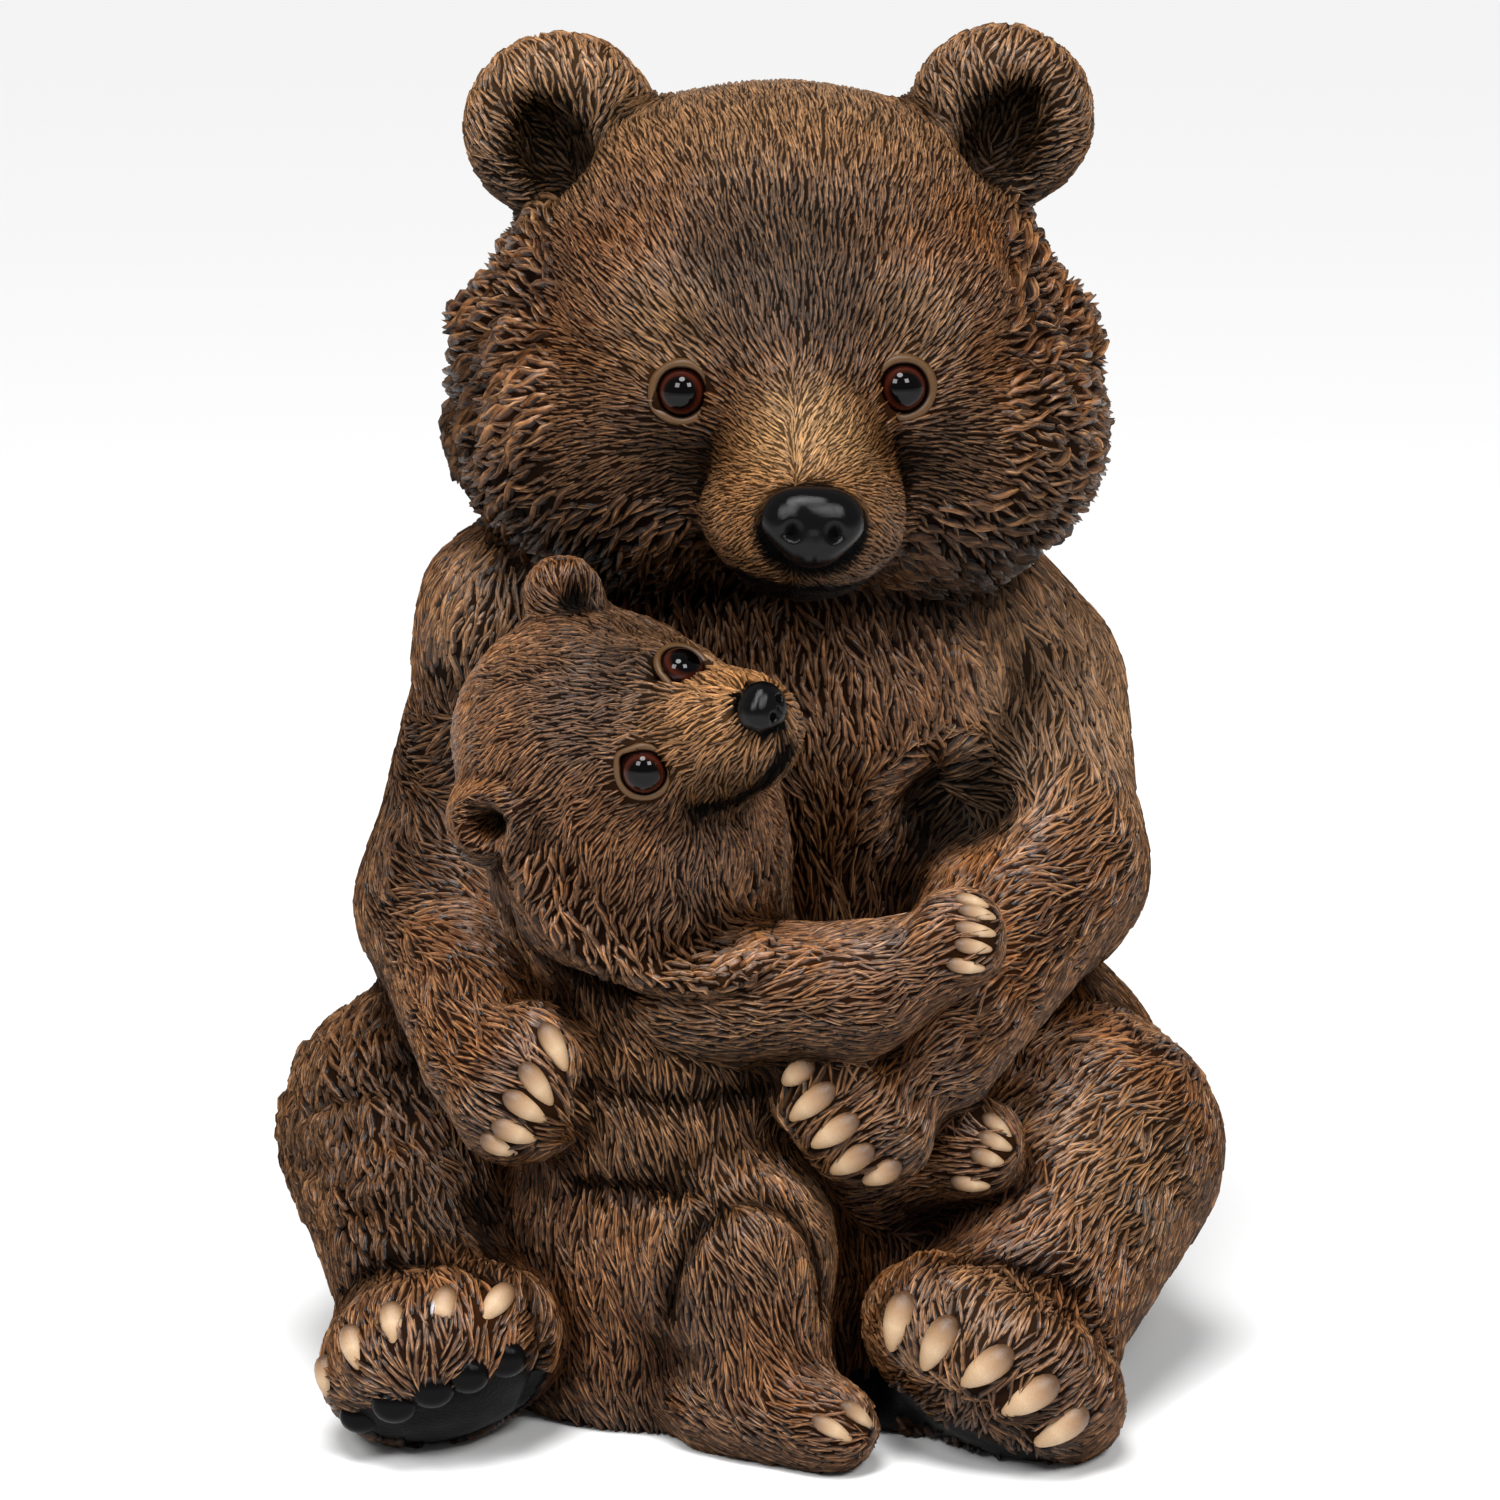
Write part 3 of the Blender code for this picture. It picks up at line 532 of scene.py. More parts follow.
curly = np.maximum(ramp(aside, 56, 70), ramp(262 - SKIN[:, 2], 0, 12) * ramp(from_nose, 42, 54))
curly = np.maximum(curly, ramp(SKIN[:, 1], 20, 40))
chest = groups["body"] * ramp(SKIN[:, 2], 146, 162) * ramp(-SKIN[:, 1], 5, 20)
cub_curls = ramp(rim_share, 0.62, 0.72) * (1 - ramp(rim_share, 1.0, 1.05)) * ramp(lower, 0.2, 0.8)
zones = {
    "muzzle": head * (1 - ramp(from_nose, 34, 48)),
    "face": head * ramp(from_nose, 34, 48) * (1 - curly),
    "ruff": head * curly,
    "ears": groups["ears"],
    "chest": chest,
    "body": groups["body"] - chest,
    "arms": groups["arms"],
    "thigh": thigh,
    "legs": groups["legs"] - thigh,
    "cub": groups["cub"] * (1 - cub_curls),
    "cub_head": groups["cub_head"] * (1 - cub_curls),
    "cub_ruff": (groups["cub"] + groups["cub_head"]) * cub_curls,
}
for name, share in zones.items():
    keep(casting.data, name, "FLOAT", bare * ramp(share, 0.3, 0.7))
keep(casting.data, "lie", "FLOAT_VECTOR", lie)
keep(casting.data, "up", "FLOAT_VECTOR", up)
keep(casting.data, "worn", "FLOAT", worn * dim**1.5 * (1 - dark[:, 0]))
keep(casting.data, "sole", "FLOAT", black)
keep(casting.data, "coat", "FLOAT_COLOR", np.hstack([coat, np.ones((len(coat), 1))]))

# First coat: dark brown matt paint, sprayed thin, and darkened further to about an eighth of the coat
# colour as painted shade, which makes the grooves between the strokes look deep. On the soles it is
# black, thicker and a little shiny. Its grain is that of the cast resin under it.
first_coat, tree, shader = surface("dark_matt_paint_on_resin")
shader.inputs["Specular IOR Level"].default_value = 0.03
colour = node(tree, "ShaderNodeAttribute", attribute_name="coat")
sole = node(tree, "ShaderNodeAttribute", attribute_name="sole")
groove_shade = node(tree, "ShaderNodeMapRange", {"value": out(sole, "Fac")}, to_min=0.13, to_max=1.0)
groove = node(
    tree, "ShaderNodeVectorMath", {0: out(colour, "Color"), "scale": out(groove_shade)}, operation="SCALE"
)
tree.links.new(out(groove), shader.inputs["Base Color"])
polish = node(tree, "ShaderNodeMapRange", {"value": out(sole, "Fac")}, to_min=0.75, to_max=0.4)
tree.links.new(out(polish), shader.inputs["Roughness"])
grain = node(tree, "ShaderNodeTexNoise", scale=260.0, detail=3.0)
bump = node(tree, "ShaderNodeBump", {"height": out(grain)}, strength=0.5, distance=0.0006)
tree.links.new(out(bump), shader.inputs["Normal"])
casting.data.materials.clear()
casting.data.materials.append(first_coat)
casting.data.shade_smooth()

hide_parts("statue")
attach(casting, "root")

# Carved fur
# Every lock is one stroke of the sculptor's tool: a wavy ridge with pointed ends, raised in the
# middle. The strokes are the same casting, and a lighter brown is dry-brushed on their crests.
STATIONS = [(0, 0, -0.3), (0.16, 0.8, 0.55), (0.5, 1.0, 0.95), (0.84, 0.8, 1.0), (1.0, 0, 0.45)]
EDGE_DEPTH = -0.35
BENDS = [-0.12, -0.05, 0.06, 0.13]
LOCK_STATIONS = [
    (0, 0, -0.3), (0.12, 0.7, 0.5), (0.32, 0.95, 0.9), (0.52, 1.0, 1.0), (0.72, 0.9, 1.0), (0.89, 0.6, 0.95),
    (1.0, 0, 0.5),
]
LOCK_BENDS = [-0.2, -0.12, 0.13, 0.22]


def stroke(name, stations, bend):
    """A stroke one unit long along Y and one wide, flat but for what it keeps: height, crest, place."""
    into = bmesh.new()
    rows, notes = [], []
    for share, width, height in stations:
        aside = bend * (math.sin(share * math.pi) + 0.7 * math.sin(share * 2 * math.pi))
        across = [0] if width == 0 else [-0.5, 0, 0.5]
        row = []
        for side in across:
            row.append(into.verts.new((aside + side * width, share - 0.5, 0)))
            crest = width and side == 0
            notes.append((height if side == 0 else EDGE_DEPTH, 1.0 if crest else 0.15, side + 0.5, share))
        rows.append(row)
    for low, high in zip(rows, rows[1:]):
        for k in range(2):
            corners = [low[0] if len(low) == 1 else low[k], low[0] if len(low) == 1 else low[k + 1]]
            corners += [high[0] if len(high) == 1 else high[k + 1], high[0] if len(high) == 1 else high[k]]
            into.faces.new(list(dict.fromkeys(corners)))
    bmesh.ops.triangulate(into, faces=into.faces)
    mesh = bpy.data.meshes.new(name)
    into.to_mesh(mesh)
    into.free()
    mesh.shade_smooth()
    notes = np.array(notes, float)
    keep(mesh, "height", "FLOAT", notes[:, 0])
    keep(mesh, "crest", "FLOAT", notes[:, 1])
    keep(mesh, "strand", "FLOAT_VECTOR", np.column_stack([notes[:, 2], notes[:, 3], notes[:, 0] * 0]))
    return bpy.data.objects.new(name, mesh)


def set_of(name, stations, bends):
    """A collection of strokes that differ in their bend."""
    found = bpy.data.collections.new(name)
    for count, bend in enumerate(bends):
        found.objects.link(stroke(f"{name}_{count}", stations, bend))
    return found


strokes = set_of("strokes", STATIONS, BENDS)
locks = set_of("locks", LOCK_STATIONS, LOCK_BENDS)


def fur_tree():
    """Nodes that lay strokes over a zone of the casting and wrap them to it."""
    tree = bpy.data.node_groups.new("Carved fur", "GeometryNodeTree")
    tree.interface.new_socket("Geometry", in_out="OUTPUT", socket_type="NodeSocketGeometry")
    tree.interface.new_socket("Geometry", in_out="INPUT", socket_type="NodeSocketGeometry")
    for name, kind in (
        ("Zone", "String"), ("Spacing", "Float"), ("Length", "Float"), ("Width", "Float"),
        ("Height", "Float"), ("Unrest", "Float"), ("Seed", "Int"), ("Strokes", "Collection"),
        ("Paint", "Material"),
    ):
        tree.interface.new_socket(name, in_out="INPUT", socket_type=f"NodeSocket{kind}")
    given = tree.nodes.new("NodeGroupInput").outputs

    def named(name, data_type="FLOAT_VECTOR"):
        found = node(tree, "GeometryNodeInputNamedAttribute", data_type=data_type)
        found.inputs["Name"].default_value = name
        return out(found, "Attribute")

    def between(low, high, seed):
        drawn = node(tree, "FunctionNodeRandomValue", {"seed": seed}, data_type="FLOAT", min=low, max=high)
        return out(drawn)

    def times(*sources):
        product = sources[0]
        for source in sources[1:]:
            product = out(node(tree, "ShaderNodeMath", {0: product, 1: source}, operation="MULTIPLY"))
        return product

    def seeds(step):
        return out(node(tree, "ShaderNodeMath", {0: given["Seed"]}, operation="ADD", value=float(step)))

    zone = node(tree, "GeometryNodeInputNamedAttribute", {"name": given["Zone"]}, data_type="FLOAT")
    density = node(tree, "ShaderNodeMath", {0: given["Spacing"]}, operation="POWER")
    density.inputs[1].default_value = -2.0
    crowd = node(tree, "ShaderNodeMath", {0: out(density)}, operation="MULTIPLY")
    crowd.inputs[1].default_value = 2.0
    spread = node(
        tree,
        "GeometryNodeDistributePointsOnFaces",
        {
            "mesh": given["Geometry"],
            "distance_min": given["Spacing"],
            "density_max": out(crowd),
            "density_factor": out(zone, "Attribute"),
            "seed": given["Seed"],
        },
        distribute_method="POISSON",
    )

    def kept(geometry, name, value):
        """Keeps a value of each point under a name."""
        made = node(
            tree, "GeometryNodeStoreNamedAttribute", {"geometry": geometry, "value": value},
            data_type="FLOAT", domain="POINT",
        )
        made.inputs["Name"].default_value = name
        return out(made)

    tinted = kept(out(spread, "Points"), "tint", between(0.0, 1.0, seeds(1)))
    risen = kept(tinted, "rise", times(given["Height"], between(0.65, 1.25, seeds(2))))
    facing = node(
        tree, "FunctionNodeAxesToRotation",
        {"primary_axis": named("up"), "secondary_axis": named("lie")},
    )
    facing.primary_axis, facing.secondary_axis = "Z", "Y"
    unrest = times(given["Unrest"], between(-1.0, 1.0, seeds(3)))
    turn = node(tree, "FunctionNodeAxisAngleToRotation", {"angle": unrest})
    turn.inputs["Axis"].default_value = (0, 0, 1)
    turned = node(
        tree, "FunctionNodeRotateRotation", {"rotation": out(facing), "rotate_by": out(turn)},
        rotation_space="LOCAL",
    )
    size = node(
        tree, "ShaderNodeCombineXYZ",
        {
            "x": times(given["Width"], between(0.75, 1.25, seeds(4))),
            "y": times(given["Length"], between(0.7, 1.3, seeds(5))),
        },
        z=1.0,
    )
    shapes = node(tree, "GeometryNodeCollectionInfo", {"collection": given["Strokes"]})
    shapes.inputs["Separate Children"].default_value = True
    which = node(tree, "FunctionNodeRandomValue", {"seed": seeds(6)}, data_type="INT")
    for socket in which.inputs:
        if socket.enabled and socket.name == "Max":
            socket.default_value = len(BENDS) - 1
        if socket.enabled and socket.name == "Min":
            socket.default_value = 0
    placed = node(
        tree, "GeometryNodeInstanceOnPoints",
        {
            "points": risen, "instance": out(shapes), "instance_index": out(which),
            "rotation": out(turned), "scale": out(size),
        },
    )
    placed.inputs["Pick Instance"].default_value = True
    real = node(tree, "GeometryNodeRealizeInstances", {"geometry": out(placed)})

    def below(value):
        """A value of the casting under each point of a stroke."""
        return out(node(
            tree, "GeometryNodeSampleNearestSurface", {"mesh": given["Geometry"], "value": value},
            data_type="FLOAT_VECTOR",
        ))

    lift = times(named("height", "FLOAT"), named("rise", "FLOAT"))
    raised = node(tree, "ShaderNodeVectorMath", {0: below(named("up")), "scale": lift}, operation="SCALE")
    spot = below(out(node(tree, "GeometryNodeInputPosition")))
    place = node(tree, "ShaderNodeVectorMath", {0: spot, 1: out(raised)}, operation="ADD")
    wrapped = node(tree, "GeometryNodeSetPosition", {"geometry": out(real), "position": out(place)})
    painted = node(tree, "GeometryNodeSetMaterial", {"geometry": out(wrapped), "material": given["Paint"]})
    tree.links.new(out(painted), tree.nodes.new("NodeGroupOutput").inputs[0])
    return tree


# Top coats: satin brown paint, streaked along each lock by the brush, with painted shade at the edges of
# each stroke so the grooves between them look dark, then dry-brushed with tan, which catches the crests
# of what stands proud, more where the casting's painted light is strong. Varnish gives the crests a soft
# shine. A streak is about a ninth of a stroke wide, 0.2 mm.
CREST_TAN = "#C39264"
fur_paint, tree, shader = surface("dry_brushed_satin_paint")
shader.inputs["Roughness"].default_value = 0.3
coat_node = node(tree, "ShaderNodeAttribute", attribute_name="coat")
crest_node = node(tree, "ShaderNodeAttribute", attribute_name="crest")
tint_node = node(tree, "ShaderNodeAttribute", attribute_name="tint")
drybrush_and_painted_light_node = node(tree, "ShaderNodeAttribute", attribute_name="worn")
strand_node = node(tree, "ShaderNodeAttribute", attribute_name="strand")
varnish = node(tree, "ShaderNodeMapRange", {"value": out(drybrush_and_painted_light_node, "Fac")}, to_min=0.02, to_max=0.34)
tree.links.new(out(varnish), shader.inputs["Specular IOR Level"])
lifted = node(tree, "ShaderNodeMath", {0: out(tint_node, "Fac")}, operation="MULTIPLY")
lifted.inputs[1].default_value = 60.0
apart = node(tree, "ShaderNodeCombineXYZ", {"z": out(lifted)})
long_lines = node(
    tree, "ShaderNodeVectorMath", {0: out(strand_node, "Vector"), 2: out(apart)}, operation="MULTIPLY_ADD"
)
long_lines.inputs[1].default_value = (9.0, 1.4, 0.0)
streak = node(tree, "ShaderNodeTexNoise", {"vector": out(long_lines)}, scale=1.0, detail=2.0)
shade = node(
    tree, "ShaderNodeMapRange", {"value": out(crest_node, "Fac")},
    from_min=0.38, from_max=0.8, to_min=0.03, to_max=1.0,
)
streaked = node(
    tree, "ShaderNodeMapRange", {"value": out(streak)}, from_min=0.4, from_max=0.6, to_min=0.25, to_max=1.4
)
tinted = node(
    tree, "ShaderNodeMapRange", {"value": out(tint_node, "Fac")}, to_min=0.7, to_max=1.3,
)
light = node(tree, "ShaderNodeMath", {0: out(shade), 1: out(tinted)}, operation="MULTIPLY")
lit = node(tree, "ShaderNodeMath", {0: out(light), 1: out(streaked)}, operation="MULTIPLY")
body_colour = node(
    tree, "ShaderNodeVectorMath", {0: out(coat_node, "Color"), "scale": out(lit)}, operation="SCALE"
)
brushed = node(
    tree, "ShaderNodeMapRange", {"value": out(crest_node, "Fac")},
    from_min=0.62, from_max=0.95, to_min=0.0, to_max=1.0,
)
blotch = node(tree, "ShaderNodeTexNoise", scale=60.0, detail=2.0)
patchy = node(
    tree, "ShaderNodeMapRange", {"value": out(blotch)}, from_min=0.35, from_max=0.7, to_min=0.15, to_max=0.95
)
caught = node(
    tree, "ShaderNodeMapRange", {"value": out(streak)}, from_min=0.42, from_max=0.6, to_min=0.2, to_max=1.0
)
dry = out(brushed)
for source in (out(patchy), out(caught), out(drybrush_and_painted_light_node, "Fac")):
    dry = out(node(tree, "ShaderNodeMath", {0: dry, 1: source}, operation="MULTIPLY"))
final = node(tree, "ShaderNodeMix", data_type="RGBA")
tree.links.new(dry, final.inputs[0])
tree.links.new(out(body_colour), final.inputs[6])
final.inputs[7].default_value = (*linear(CREST_TAN), 1)
tree.links.new(final.outputs[2], shader.inputs["Base Color"])
bump = node(tree, "ShaderNodeBump", {"height": out(streak)}, strength=0.9, distance=0.0006)
tree.links.new(out(bump), shader.inputs["Normal"])

LOCKED = ("ruff", "chest", "thigh", "cub_ruff")
carved = fur_tree()
# Each zone's stroke spacing, length, width and height, in figure millimetres, and its unrest in radians
FUR = {
    "muzzle": (0.95, 3.9, 0.95, 0.5, 0.1),
    "face": (1.25, 6.0, 1.25, 0.85, 0.12),
    "ruff": (2.6, 9.5, 2.9, 2.9, 0.5),
    "ears": (1.65, 6.4, 1.7, 1.4, 0.2),
    "chest": (2.0, 9.0, 2.3, 1.9, 0.16),
    "body": (1.95, 10.5, 1.8, 1.5, 0.14),
    "arms": (1.75, 10.0, 1.6, 1.4, 0.12),
    "thigh": (2.1, 9.5, 2.3, 2.2, 0.16),
    "legs": (1.8, 9.6, 1.65, 1.4, 0.14),
    "cub": (1.53, 8.2, 1.4, 1.15, 0.12),
    "cub_head": (1.23, 6.3, 1.2, 0.9, 0.12),
    "cub_ruff": (1.8, 7.5, 2.2, 2.5, 0.35),
}
for count, (zone, (spacing, length, width, height, unrest)) in enumerate(FUR.items()):
    fur = object_of(f"{zone}_fur", casting.data)
    grow = fur.modifiers.new("Fur", "NODES")
    grow.node_group = carved
    values = {
        "Zone": zone, "Spacing": spacing * MM, "Length": length * MM, "Width": width * MM,
        "Height": height * MM, "Unrest": unrest, "Seed": 10 * count,
        "Strokes": locks if zone in LOCKED else strokes, "Paint": fur_paint,
    }
    for socket in carved.interface.items_tree:
        if socket.in_out == "INPUT" and socket.name in values:
            grow[socket.identifier] = values[socket.name]
    made_plain(fur)
    for name in ("lie", "up", "height", "rise", "sole", *FUR):
        if name in fur.data.attributes:
            fur.data.attributes.remove(fur.data.attributes[name])
    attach(fur, "root")

# Glass eyes
# Each eye is a ball of blown glass glued into its socket: a black pupil with a dark red-brown iris
# round it, under a high polish that mirrors both softboxes.
EYE_STEPS, EYE_ROUND = 28, 56
PUPIL, IRIS = 0.62, 0.86


def turned_from(facing, upright=(0, 0, 1)):
    """Across, out and up axes of something that faces a way."""
    facing = np.array(facing, float) / np.linalg.norm(facing)
    across = np.cross(facing, upright)
    across /= np.linalg.norm(across)
    return across, facing, np.cross(across, facing)


def rows_joined(into, rows, start=None, end=None):
    """Joins rings of points with faces, with a fan to a start or an end point."""
    for low, high in zip(rows, rows[1:]):
        for k in range(len(low)):
            nxt = (k + 1) % len(low)
            into.faces.new((low[k], low[nxt], high[nxt], high[k]))
    for point, ring in ((start, rows[0]), (end, rows[-1])):
        if point is not None:
            for k in range(len(ring)):
                into.faces.new((point, ring[k], ring[(k + 1) % len(ring)]))


def finished(name, into, paint, **notes):
    """Makes an object of a bmesh in figure millimetres, with values kept for its points."""
    bmesh.ops.recalc_face_normals(into, faces=into.faces)
    into.transform(Matrix.Scale(MM, 4))
    mesh = bpy.data.meshes.new(name)
    into.to_mesh(mesh)
    into.free()
    mesh.shade_smooth()
    mesh.materials.append(paint)
    for key, values in notes.items():
        keep(mesh, key, "FLOAT", values)
    thing = object_of(name, mesh)
    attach(thing, "root")
    return thing


glass, tree, shader = surface("polished_glass_eye")
shader.inputs["Roughness"].default_value = 0.03
shader.inputs["Specular IOR Level"].default_value = 0.18
angle = node(tree, "ShaderNodeAttribute", attribute_name="angle")
iris = node(tree, "ShaderNodeValToRGB", {"fac": out(angle, "Fac")})
stops = iris.color_ramp.elements
stops[0].position, stops[0].color = PUPIL, (*linear("#020101"), 1)
stops[1].position, stops[1].color = IRIS, (*linear("#38140A"), 1)
rim = stops.new(0.999)
rim.color = (*linear("#120503"), 1)
tree.links.new(out(iris), shader.inputs["Base Color"])
for name, (place, facing, radius) in EYES.items():
    across, ahead, over = turned_from(facing)
    into = bmesh.new()
    rows, notes = [], [0.0]
    front = into.verts.new(np.array(place) + ahead * radius)
    for step in range(1, EYE_STEPS):
        lean = math.pi * step / EYE_STEPS
        ring = []
        for turn in np.arange(EYE_ROUND) * 2 * math.pi / EYE_ROUND:
            spoke = across * math.cos(turn) + over * math.sin(turn)
            ring.append(into.verts.new(place + radius * (ahead * math.cos(lean) + spoke * math.sin(lean))))
            notes.append(min(lean, 1.0))
        rows.append(ring)
    rows_joined(into, rows, front, into.verts.new(np.array(place) - ahead * radius))
    ball = finished(f"{name}_glass", into, glass, angle=notes + [1.0])
    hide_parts(name)

# Eyelids
# A roll of clay round each eye, smooth, with a pinched corner. It is part of the casting, in satin
# paint: its outer fold is mottled tan, and its inner edge nearly black.
LID_ROUND, LID_SIDES = 56, 12
LIDS = {
    "mother_left_eye": (7.8, 1.3, 2.8, -0.45),
    "mother_right_eye": (7.9, 1.4, 2.8, 0.2),
    "cub_upper_eye": (6.9, 1.0, 2.4, -1.0),
    "cub_lower_eye": (6.9, 1.0, 2.4, 0.6),
}
lid_paint, tree, shader = surface("satin_tan_lid_paint")
shader.inputs["Specular IOR Level"].default_value = 0.25
shader.inputs["Roughness"].default_value = 0.4
inner = node(tree, "ShaderNodeAttribute", attribute_name="inner")
grain = node(tree, "ShaderNodeTexNoise", scale=300.0, detail=2.0)
edge = node(tree, "ShaderNodeMapRange", {"value": out(inner, "Fac")}, from_min=0.45, from_max=0.8)
mottled = node(tree, "ShaderNodeMapRange", {"value": out(grain)}, from_min=0.4, from_max=0.6)
tan = node(tree, "ShaderNodeMix", data_type="RGBA")
tree.links.new(out(mottled), tan.inputs[0])
tan.inputs[6].default_value = (*linear("#2E1E11"), 1)
tan.inputs[7].default_value = (*linear("#5F4222"), 1)
lid_colour = node(tree, "ShaderNodeMix", data_type="RGBA")
tree.links.new(out(edge), lid_colour.inputs[0])
tree.links.new(tan.outputs[2], lid_colour.inputs[6])
lid_colour.inputs[7].default_value = (*linear("#120A06"), 1)
tree.links.new(lid_colour.outputs[2], shader.inputs["Base Color"])
for name, (ring_radius, tube, forward, corner) in LIDS.items():
    place, facing, _ = EYES[name]
    across, ahead, over = turned_from(facing)
    into = bmesh.new()
    rows, notes = [], []
    for turn in np.arange(LID_ROUND) * 2 * math.pi / LID_ROUND:
        spoke = across * math.cos(turn) + over * math.sin(turn)
        off = math.remainder(turn - corner, 2 * math.pi)
        pinch = math.exp(-((off / 0.3) ** 2))
        middle = place + ahead * (forward - 0.3 * pinch) + spoke * (ring_radius + 1.1 * pinch)
        thick = tube * (1 - 0.2 * pinch + 0.08 * math.sin(5 * turn))
        ring = []
        for side in np.arange(LID_SIDES) * 2 * math.pi / LID_SIDES:
            ring.append(into.verts.new(middle + thick * (spoke * math.cos(side) + ahead * math.sin(side))))
            notes.append(max(0.0, -math.cos(side)))
        rows.append(ring)
    rows_joined(into, rows + [rows[0]])
    lid = finished(f"{name}_lid", into, lid_paint, inner=notes)

# Noses
# Part of the casting, modelled smooth, with pressed nostrils and a groove under them. The black enamel
# is brushed on thick, so it levels out to a gloss, with none inside the nostrils.
enamel, tree, shader = surface("gloss_black_enamel")
shader.inputs["Base Color"].default_value = (*linear("#080708"), 1)
shader.inputs["Roughness"].default_value = 0.1
pit_node = node(tree, "ShaderNodeAttribute", attribute_name="pit")
shine = node(tree, "ShaderNodeMapRange", {"value": out(pit_node, "Fac")}, to_min=0.15, to_max=0.0)
tree.links.new(out(shine), shader.inputs["Specular IOR Level"])
leather = node(tree, "ShaderNodeTexVoronoi", scale=900.0)
waxy = node(tree, "ShaderNodeTexNoise", scale=180.0, detail=3.0)
rough = node(tree, "ShaderNodeMath", {0: out(leather), 1: out(waxy)}, operation="ADD")
bump = node(tree, "ShaderNodeBump", {"height": out(rough)}, strength=0.1, distance=0.0003)
tree.links.new(out(bump), shader.inputs["Normal"])
SQUARE = 2.5


def nose(name, place, facing, upright, size, narrow, nostril, groove):
    """A rounded block that narrows downwards. nostril is its place aside and up, radius and depth."""
    across, ahead, over = turned_from(facing, upright)
    into = bmesh.new()
    bmesh.ops.create_icosphere(into, subdivisions=5, radius=1)
    pits = []
    for vert in into.verts:
        unit = np.array(vert.co)
        unit /= (np.abs(unit) ** SQUARE).sum() ** (1 / SQUARE)
        unit[0] *= 1 - narrow * float(ramp(-unit[2], -0.1, 1.0))
        spot = unit * size
        front = float(ramp(unit[1], 0.1, 0.5))
        aside, rise, radius, depth = nostril
        pits.append(0.0)
        for side in (-1, 1):
            hole = math.hypot(spot[0] - side * aside, (spot[2] - rise) * 0.85) / radius
            pits[-1] = max(pits[-1], min(1.0, 1.4 * math.exp(-(hole**4))))
            slit = math.hypot((spot[0] - side * (aside + radius)) * 0.6, spot[2] - rise + 0.3 * radius)
            slit /= radius
            spot[1] -= front * depth * (math.exp(-(hole**4)) + 0.35 * math.exp(-((slit * 1.6) ** 2)))
        if spot[2] < rise:
            spot[1] -= front * groove * math.exp(-((spot[0] / (0.9 * groove)) ** 2))
        vert.co = place + across * spot[0] + ahead * spot[1] + over * spot[2]
    finished(name, into, enamel, pit=pits)


nose("mother_nose", (16.2, -111.2, 255.7), (0.05, -0.96, 0.2), (0.05, 0, 1), (13.7, 9.0, 10.9), 0.36,
     (5.4, -1.8, 1.9, 2.0), 0.8)
nose("cub_nose", (3.2, -130.9, 211.3), (0.6, -0.75, 0.25), (-0.74, -0.43, 0.48), (6.9, 5.6, 6.4), 0.45,
     (2.5, -0.8, 1.0, 1.6), 0.5)

# Claws
# Thirty-one hooked teardrops in rows, smooth, in satin paint: tan at the root, ivory towards the tip,
# and stained by the wash. One on mother's left foot has lost its tip, and shows white filler.
CLAW_SIDES = 16
CLAW_SHAPE = [
    (0, 0.3), (0.05, 0.58), (0.14, 0.84), (0.26, 0.98), (0.4, 1.0), (0.54, 0.94), (0.67, 0.82), (0.79, 0.64),
    (0.89, 0.44), (0.96, 0.24),
]
BREAK = 0.7
ivory, tree, shader = surface("satin_ivory_claw_paint")
shader.inputs["Roughness"].default_value = 0.36
along_node = node(tree, "ShaderNodeAttribute", attribute_name="along")
chip_node = node(tree, "ShaderNodeAttribute", attribute_name="chip")
length_colour = node(tree, "ShaderNodeValToRGB", {"fac": out(along_node, "Fac")})
stops = length_colour.color_ramp.elements
stops[0].position, stops[0].color = 0.08, (*linear("#593F2A"), 1)
stops[1].position, stops[1].color = 0.34, (*linear("#9A7857"), 1)
pale = stops.new(0.6)
pale.color = (*linear("#C0A280"), 1)
tip_stop = stops.new(0.95)
tip_stop.color = (*linear("#A98761"), 1)
chipped = node(tree, "ShaderNodeMix", data_type="RGBA")
tree.links.new(out(chip_node, "Fac"), chipped.inputs[0])
tree.links.new(out(length_colour), chipped.inputs[6])
chipped.inputs[7].default_value = (*linear("#DDDEE8"), 1)
stains = node(tree, "ShaderNodeTexNoise", scale=300.0, detail=4.0)
stained = node(
    tree, "ShaderNodeMapRange", {"value": out(stains)}, from_min=0.35, from_max=0.6, to_min=0.62, to_max=1.05
)
claw_colour = node(
    tree, "ShaderNodeVectorMath", {0: chipped.outputs[2], "scale": out(stained)}, operation="SCALE"
)
tree.links.new(out(claw_colour), shader.inputs["Base Color"])
bump = node(tree, "ShaderNodeBump", {"height": out(stains)}, strength=0.3, distance=0.0004)
tree.links.new(out(bump), shader.inputs["Normal"])
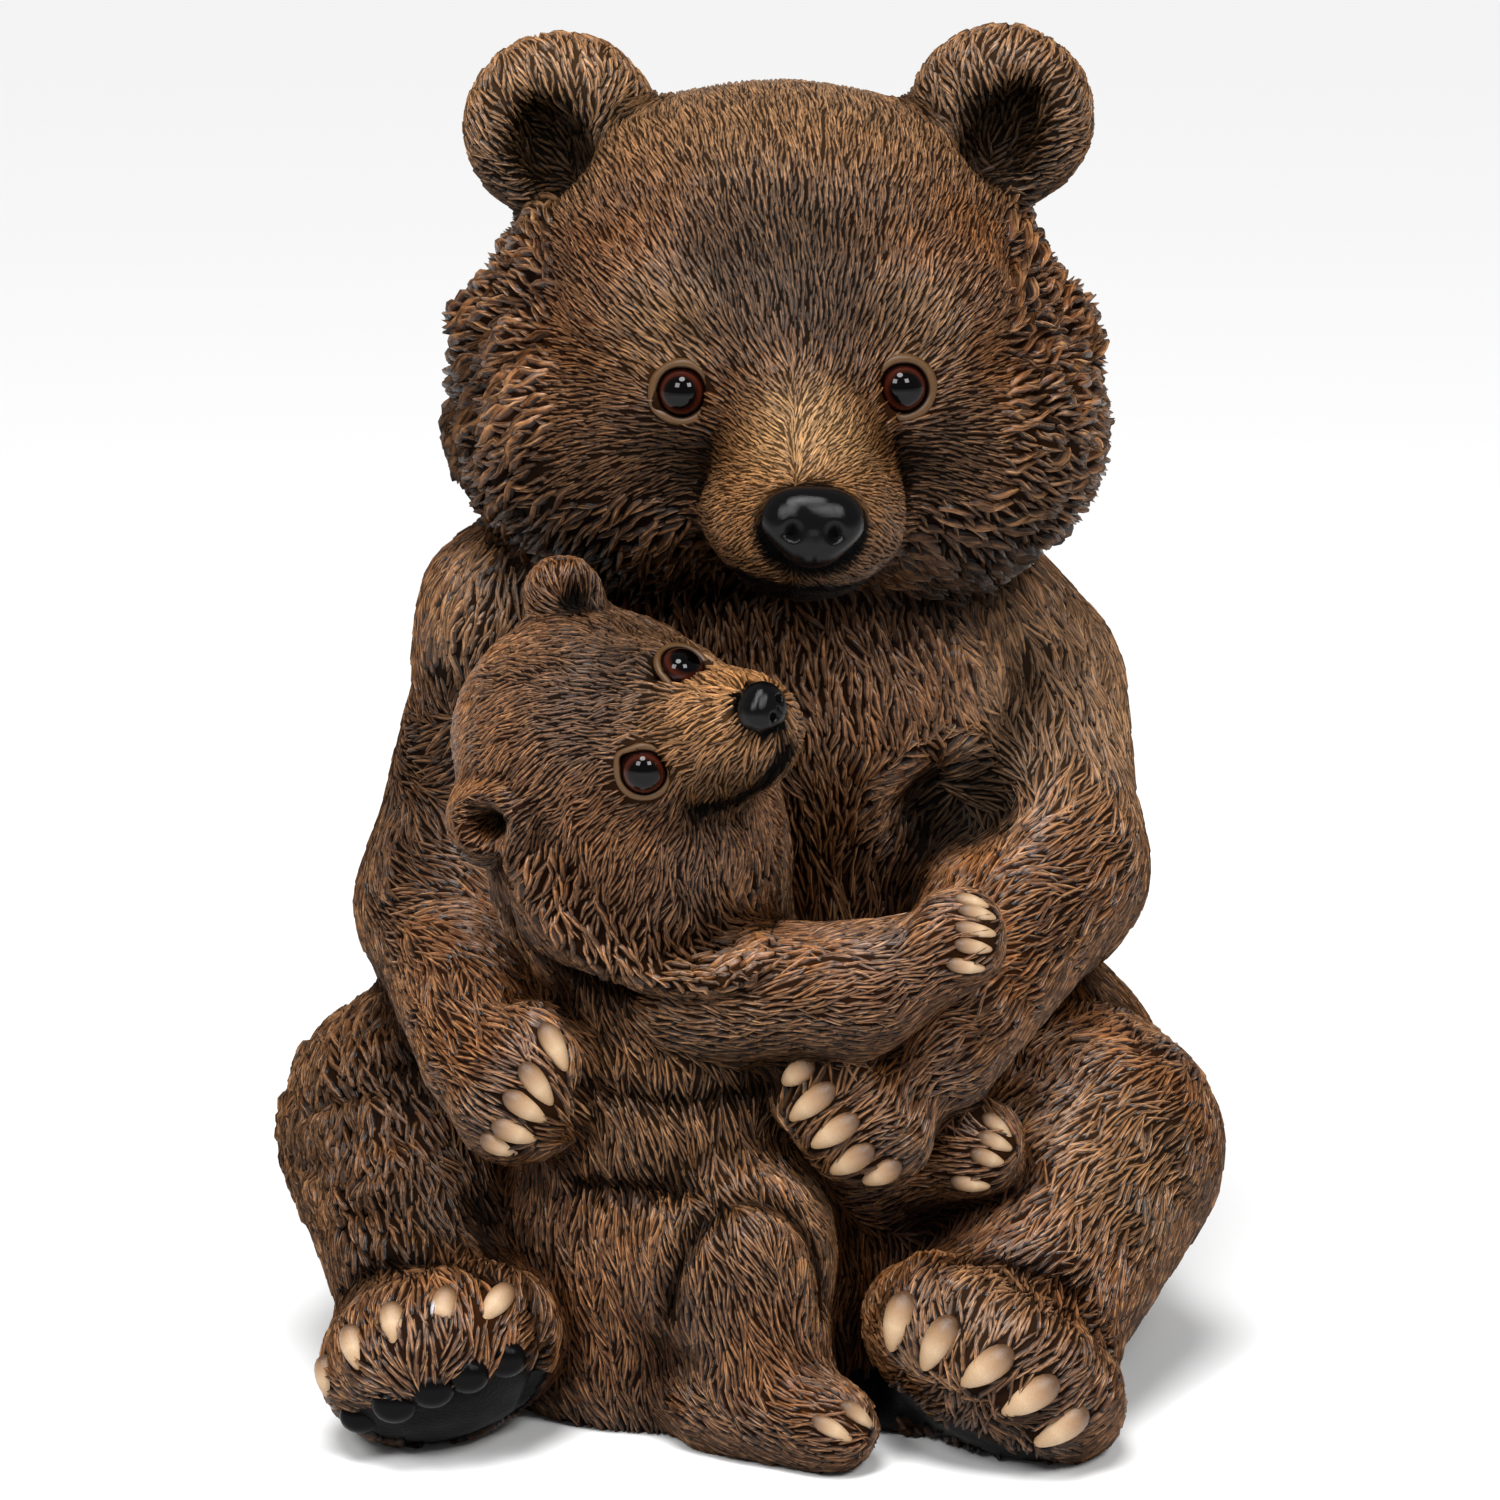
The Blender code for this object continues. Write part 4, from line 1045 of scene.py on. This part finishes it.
for paw, (width, claws) in CLAWS.items():
    into = bmesh.new()
    shares, chips = [], []
    for count, (root, tip, outward) in enumerate(claws):
        root, tip = np.array(root, float), np.array(tip, float)
        reach = np.linalg.norm(tip - root)
        side, along, back = turned_from((tip - root) / reach, outward)
        shape = [row for row in CLAW_SHAPE if (paw, count) != BROKEN or row[0] < BREAK]
        rows = []
        for share, size in shape:
            middle = root + along * (share * (reach + 1.5 * width) - 0.75 * width)
            middle = middle + back * width * (0.5 - 0.75 * share**2)
            ring = []
            for turn in np.arange(CLAW_SIDES) * 2 * math.pi / CLAW_SIDES:
                around_claw = side * 1.12 * math.cos(turn) + back * 1.08 * math.sin(turn)
                ring.append(into.verts.new(middle + around_claw * (width * size + 0.15)))
                shares.append(share)
                chips.append(float((paw, count) == BROKEN and share > 0.5 and math.cos(turn) > 0.4))
            rows.append(ring)
        first = into.verts.new(root - along * 0.9 * width)
        end_share = 1.0 if len(shape) == len(CLAW_SHAPE) else BREAK
        last = root + along * (end_share * (reach + 1.5 * width) - 0.75 * width)
        rows_joined(into, rows, first, into.verts.new(last + back * width * (0.5 - 0.75 * end_share**2)))
        shares += [0.0, end_share]
        chips += [0.0, 0.0]
    finished(f"{paw}_claws", into, ivory, along=shares, chip=chips)

# Toe pads
# Five smooth cushions along the front of the upturned left sole, in the same black enamel.
PADS = [
    ((-105, -117.5, 14), 5.6), ((-95, -128, 21), 6.2), ((-85, -130, 26), 6.3), ((-75.5, -129, 29.5), 6.0),
    ((-66, -123, 32), 6.2),
]
into = bmesh.new()
for place, radius in PADS:
    size = Matrix.Diagonal((radius, 0.62 * radius, 0.85 * radius, 1))
    bmesh.ops.create_icosphere(into, subdivisions=4, radius=1, matrix=Matrix.Translation(place) @ size)
dull = [0.6] * len(into.verts)
finished("left_toe_pads", into, enamel, pit=dull)

# Floor, light and camera
CAMERA_FAR = 1500
CAMERA_HIGH = math.radians(12)
AIM = Vector((0, 0, 172.5))
FRAME_WIDE = 427.5
SENSOR = 36
floor_mesh = bpy.data.meshes.new("floor")
floor_mesh.from_pydata([(-30, -30, 0), (30, -30, 0), (30, 30, 0), (-30, 30, 0)], [], [(0, 1, 2, 3)])
floor = object_of("floor", floor_mesh)
floor_paint, tree, shader = surface("pale_studio_floor")
shader.inputs["Base Color"].default_value = (0.88, 0.88, 0.88, 1)
shader.inputs["Roughness"].default_value = 0.9
floor_mesh.materials.append(floor_paint)


def lamp(name, place, size, power):
    """A square softbox that faces the statue."""
    data = bpy.data.lights.new(name, "AREA")
    data.shape, data.size, data.energy = "SQUARE", size, power
    thing = bpy.data.objects.new(name, data)
    bpy.context.scene.collection.objects.link(thing)
    thing.location = place
    thing.rotation_euler = (AIM * MM - thing.location).to_track_quat("-Z", "Y").to_euler()


lamp("left_softbox", Vector((-0.75, -1.25, 1.25)), 0.55, 17)
lamp("right_softbox", Vector((0.7, -1.25, 1.3)), 0.5, 17)
sun = bpy.data.lights.new("overhead_softbox", "SUN")
sun.energy, sun.angle = 2.7, math.radians(22)
overhead = bpy.data.objects.new("overhead_softbox", sun)
bpy.context.scene.collection.objects.link(overhead)
overhead.rotation_euler = Vector((0.1, 0.45, -1)).to_track_quat("-Z", "Y").to_euler()

world = bpy.data.worlds.new("studio")
bpy.context.scene.world = world
world.use_nodes = True
world.node_tree.nodes["Background"].inputs["Color"].default_value = (1, 1, 1, 1)
world.node_tree.nodes["Background"].inputs["Strength"].default_value = 0.27

camera = bpy.data.objects.new("camera", bpy.data.cameras.new("camera"))
bpy.context.scene.collection.objects.link(camera)
camera.data.sensor_width = SENSOR
camera.data.lens = SENSOR * CAMERA_FAR / FRAME_WIDE
away = Vector((0, -math.cos(CAMERA_HIGH), math.sin(CAMERA_HIGH)))
camera.location = (AIM + away * CAMERA_FAR) * MM
camera.rotation_euler = (-away).to_track_quat("-Z", "Y").to_euler()
bpy.context.scene.camera = camera
bpy.context.scene.view_settings.view_transform = "Standard"
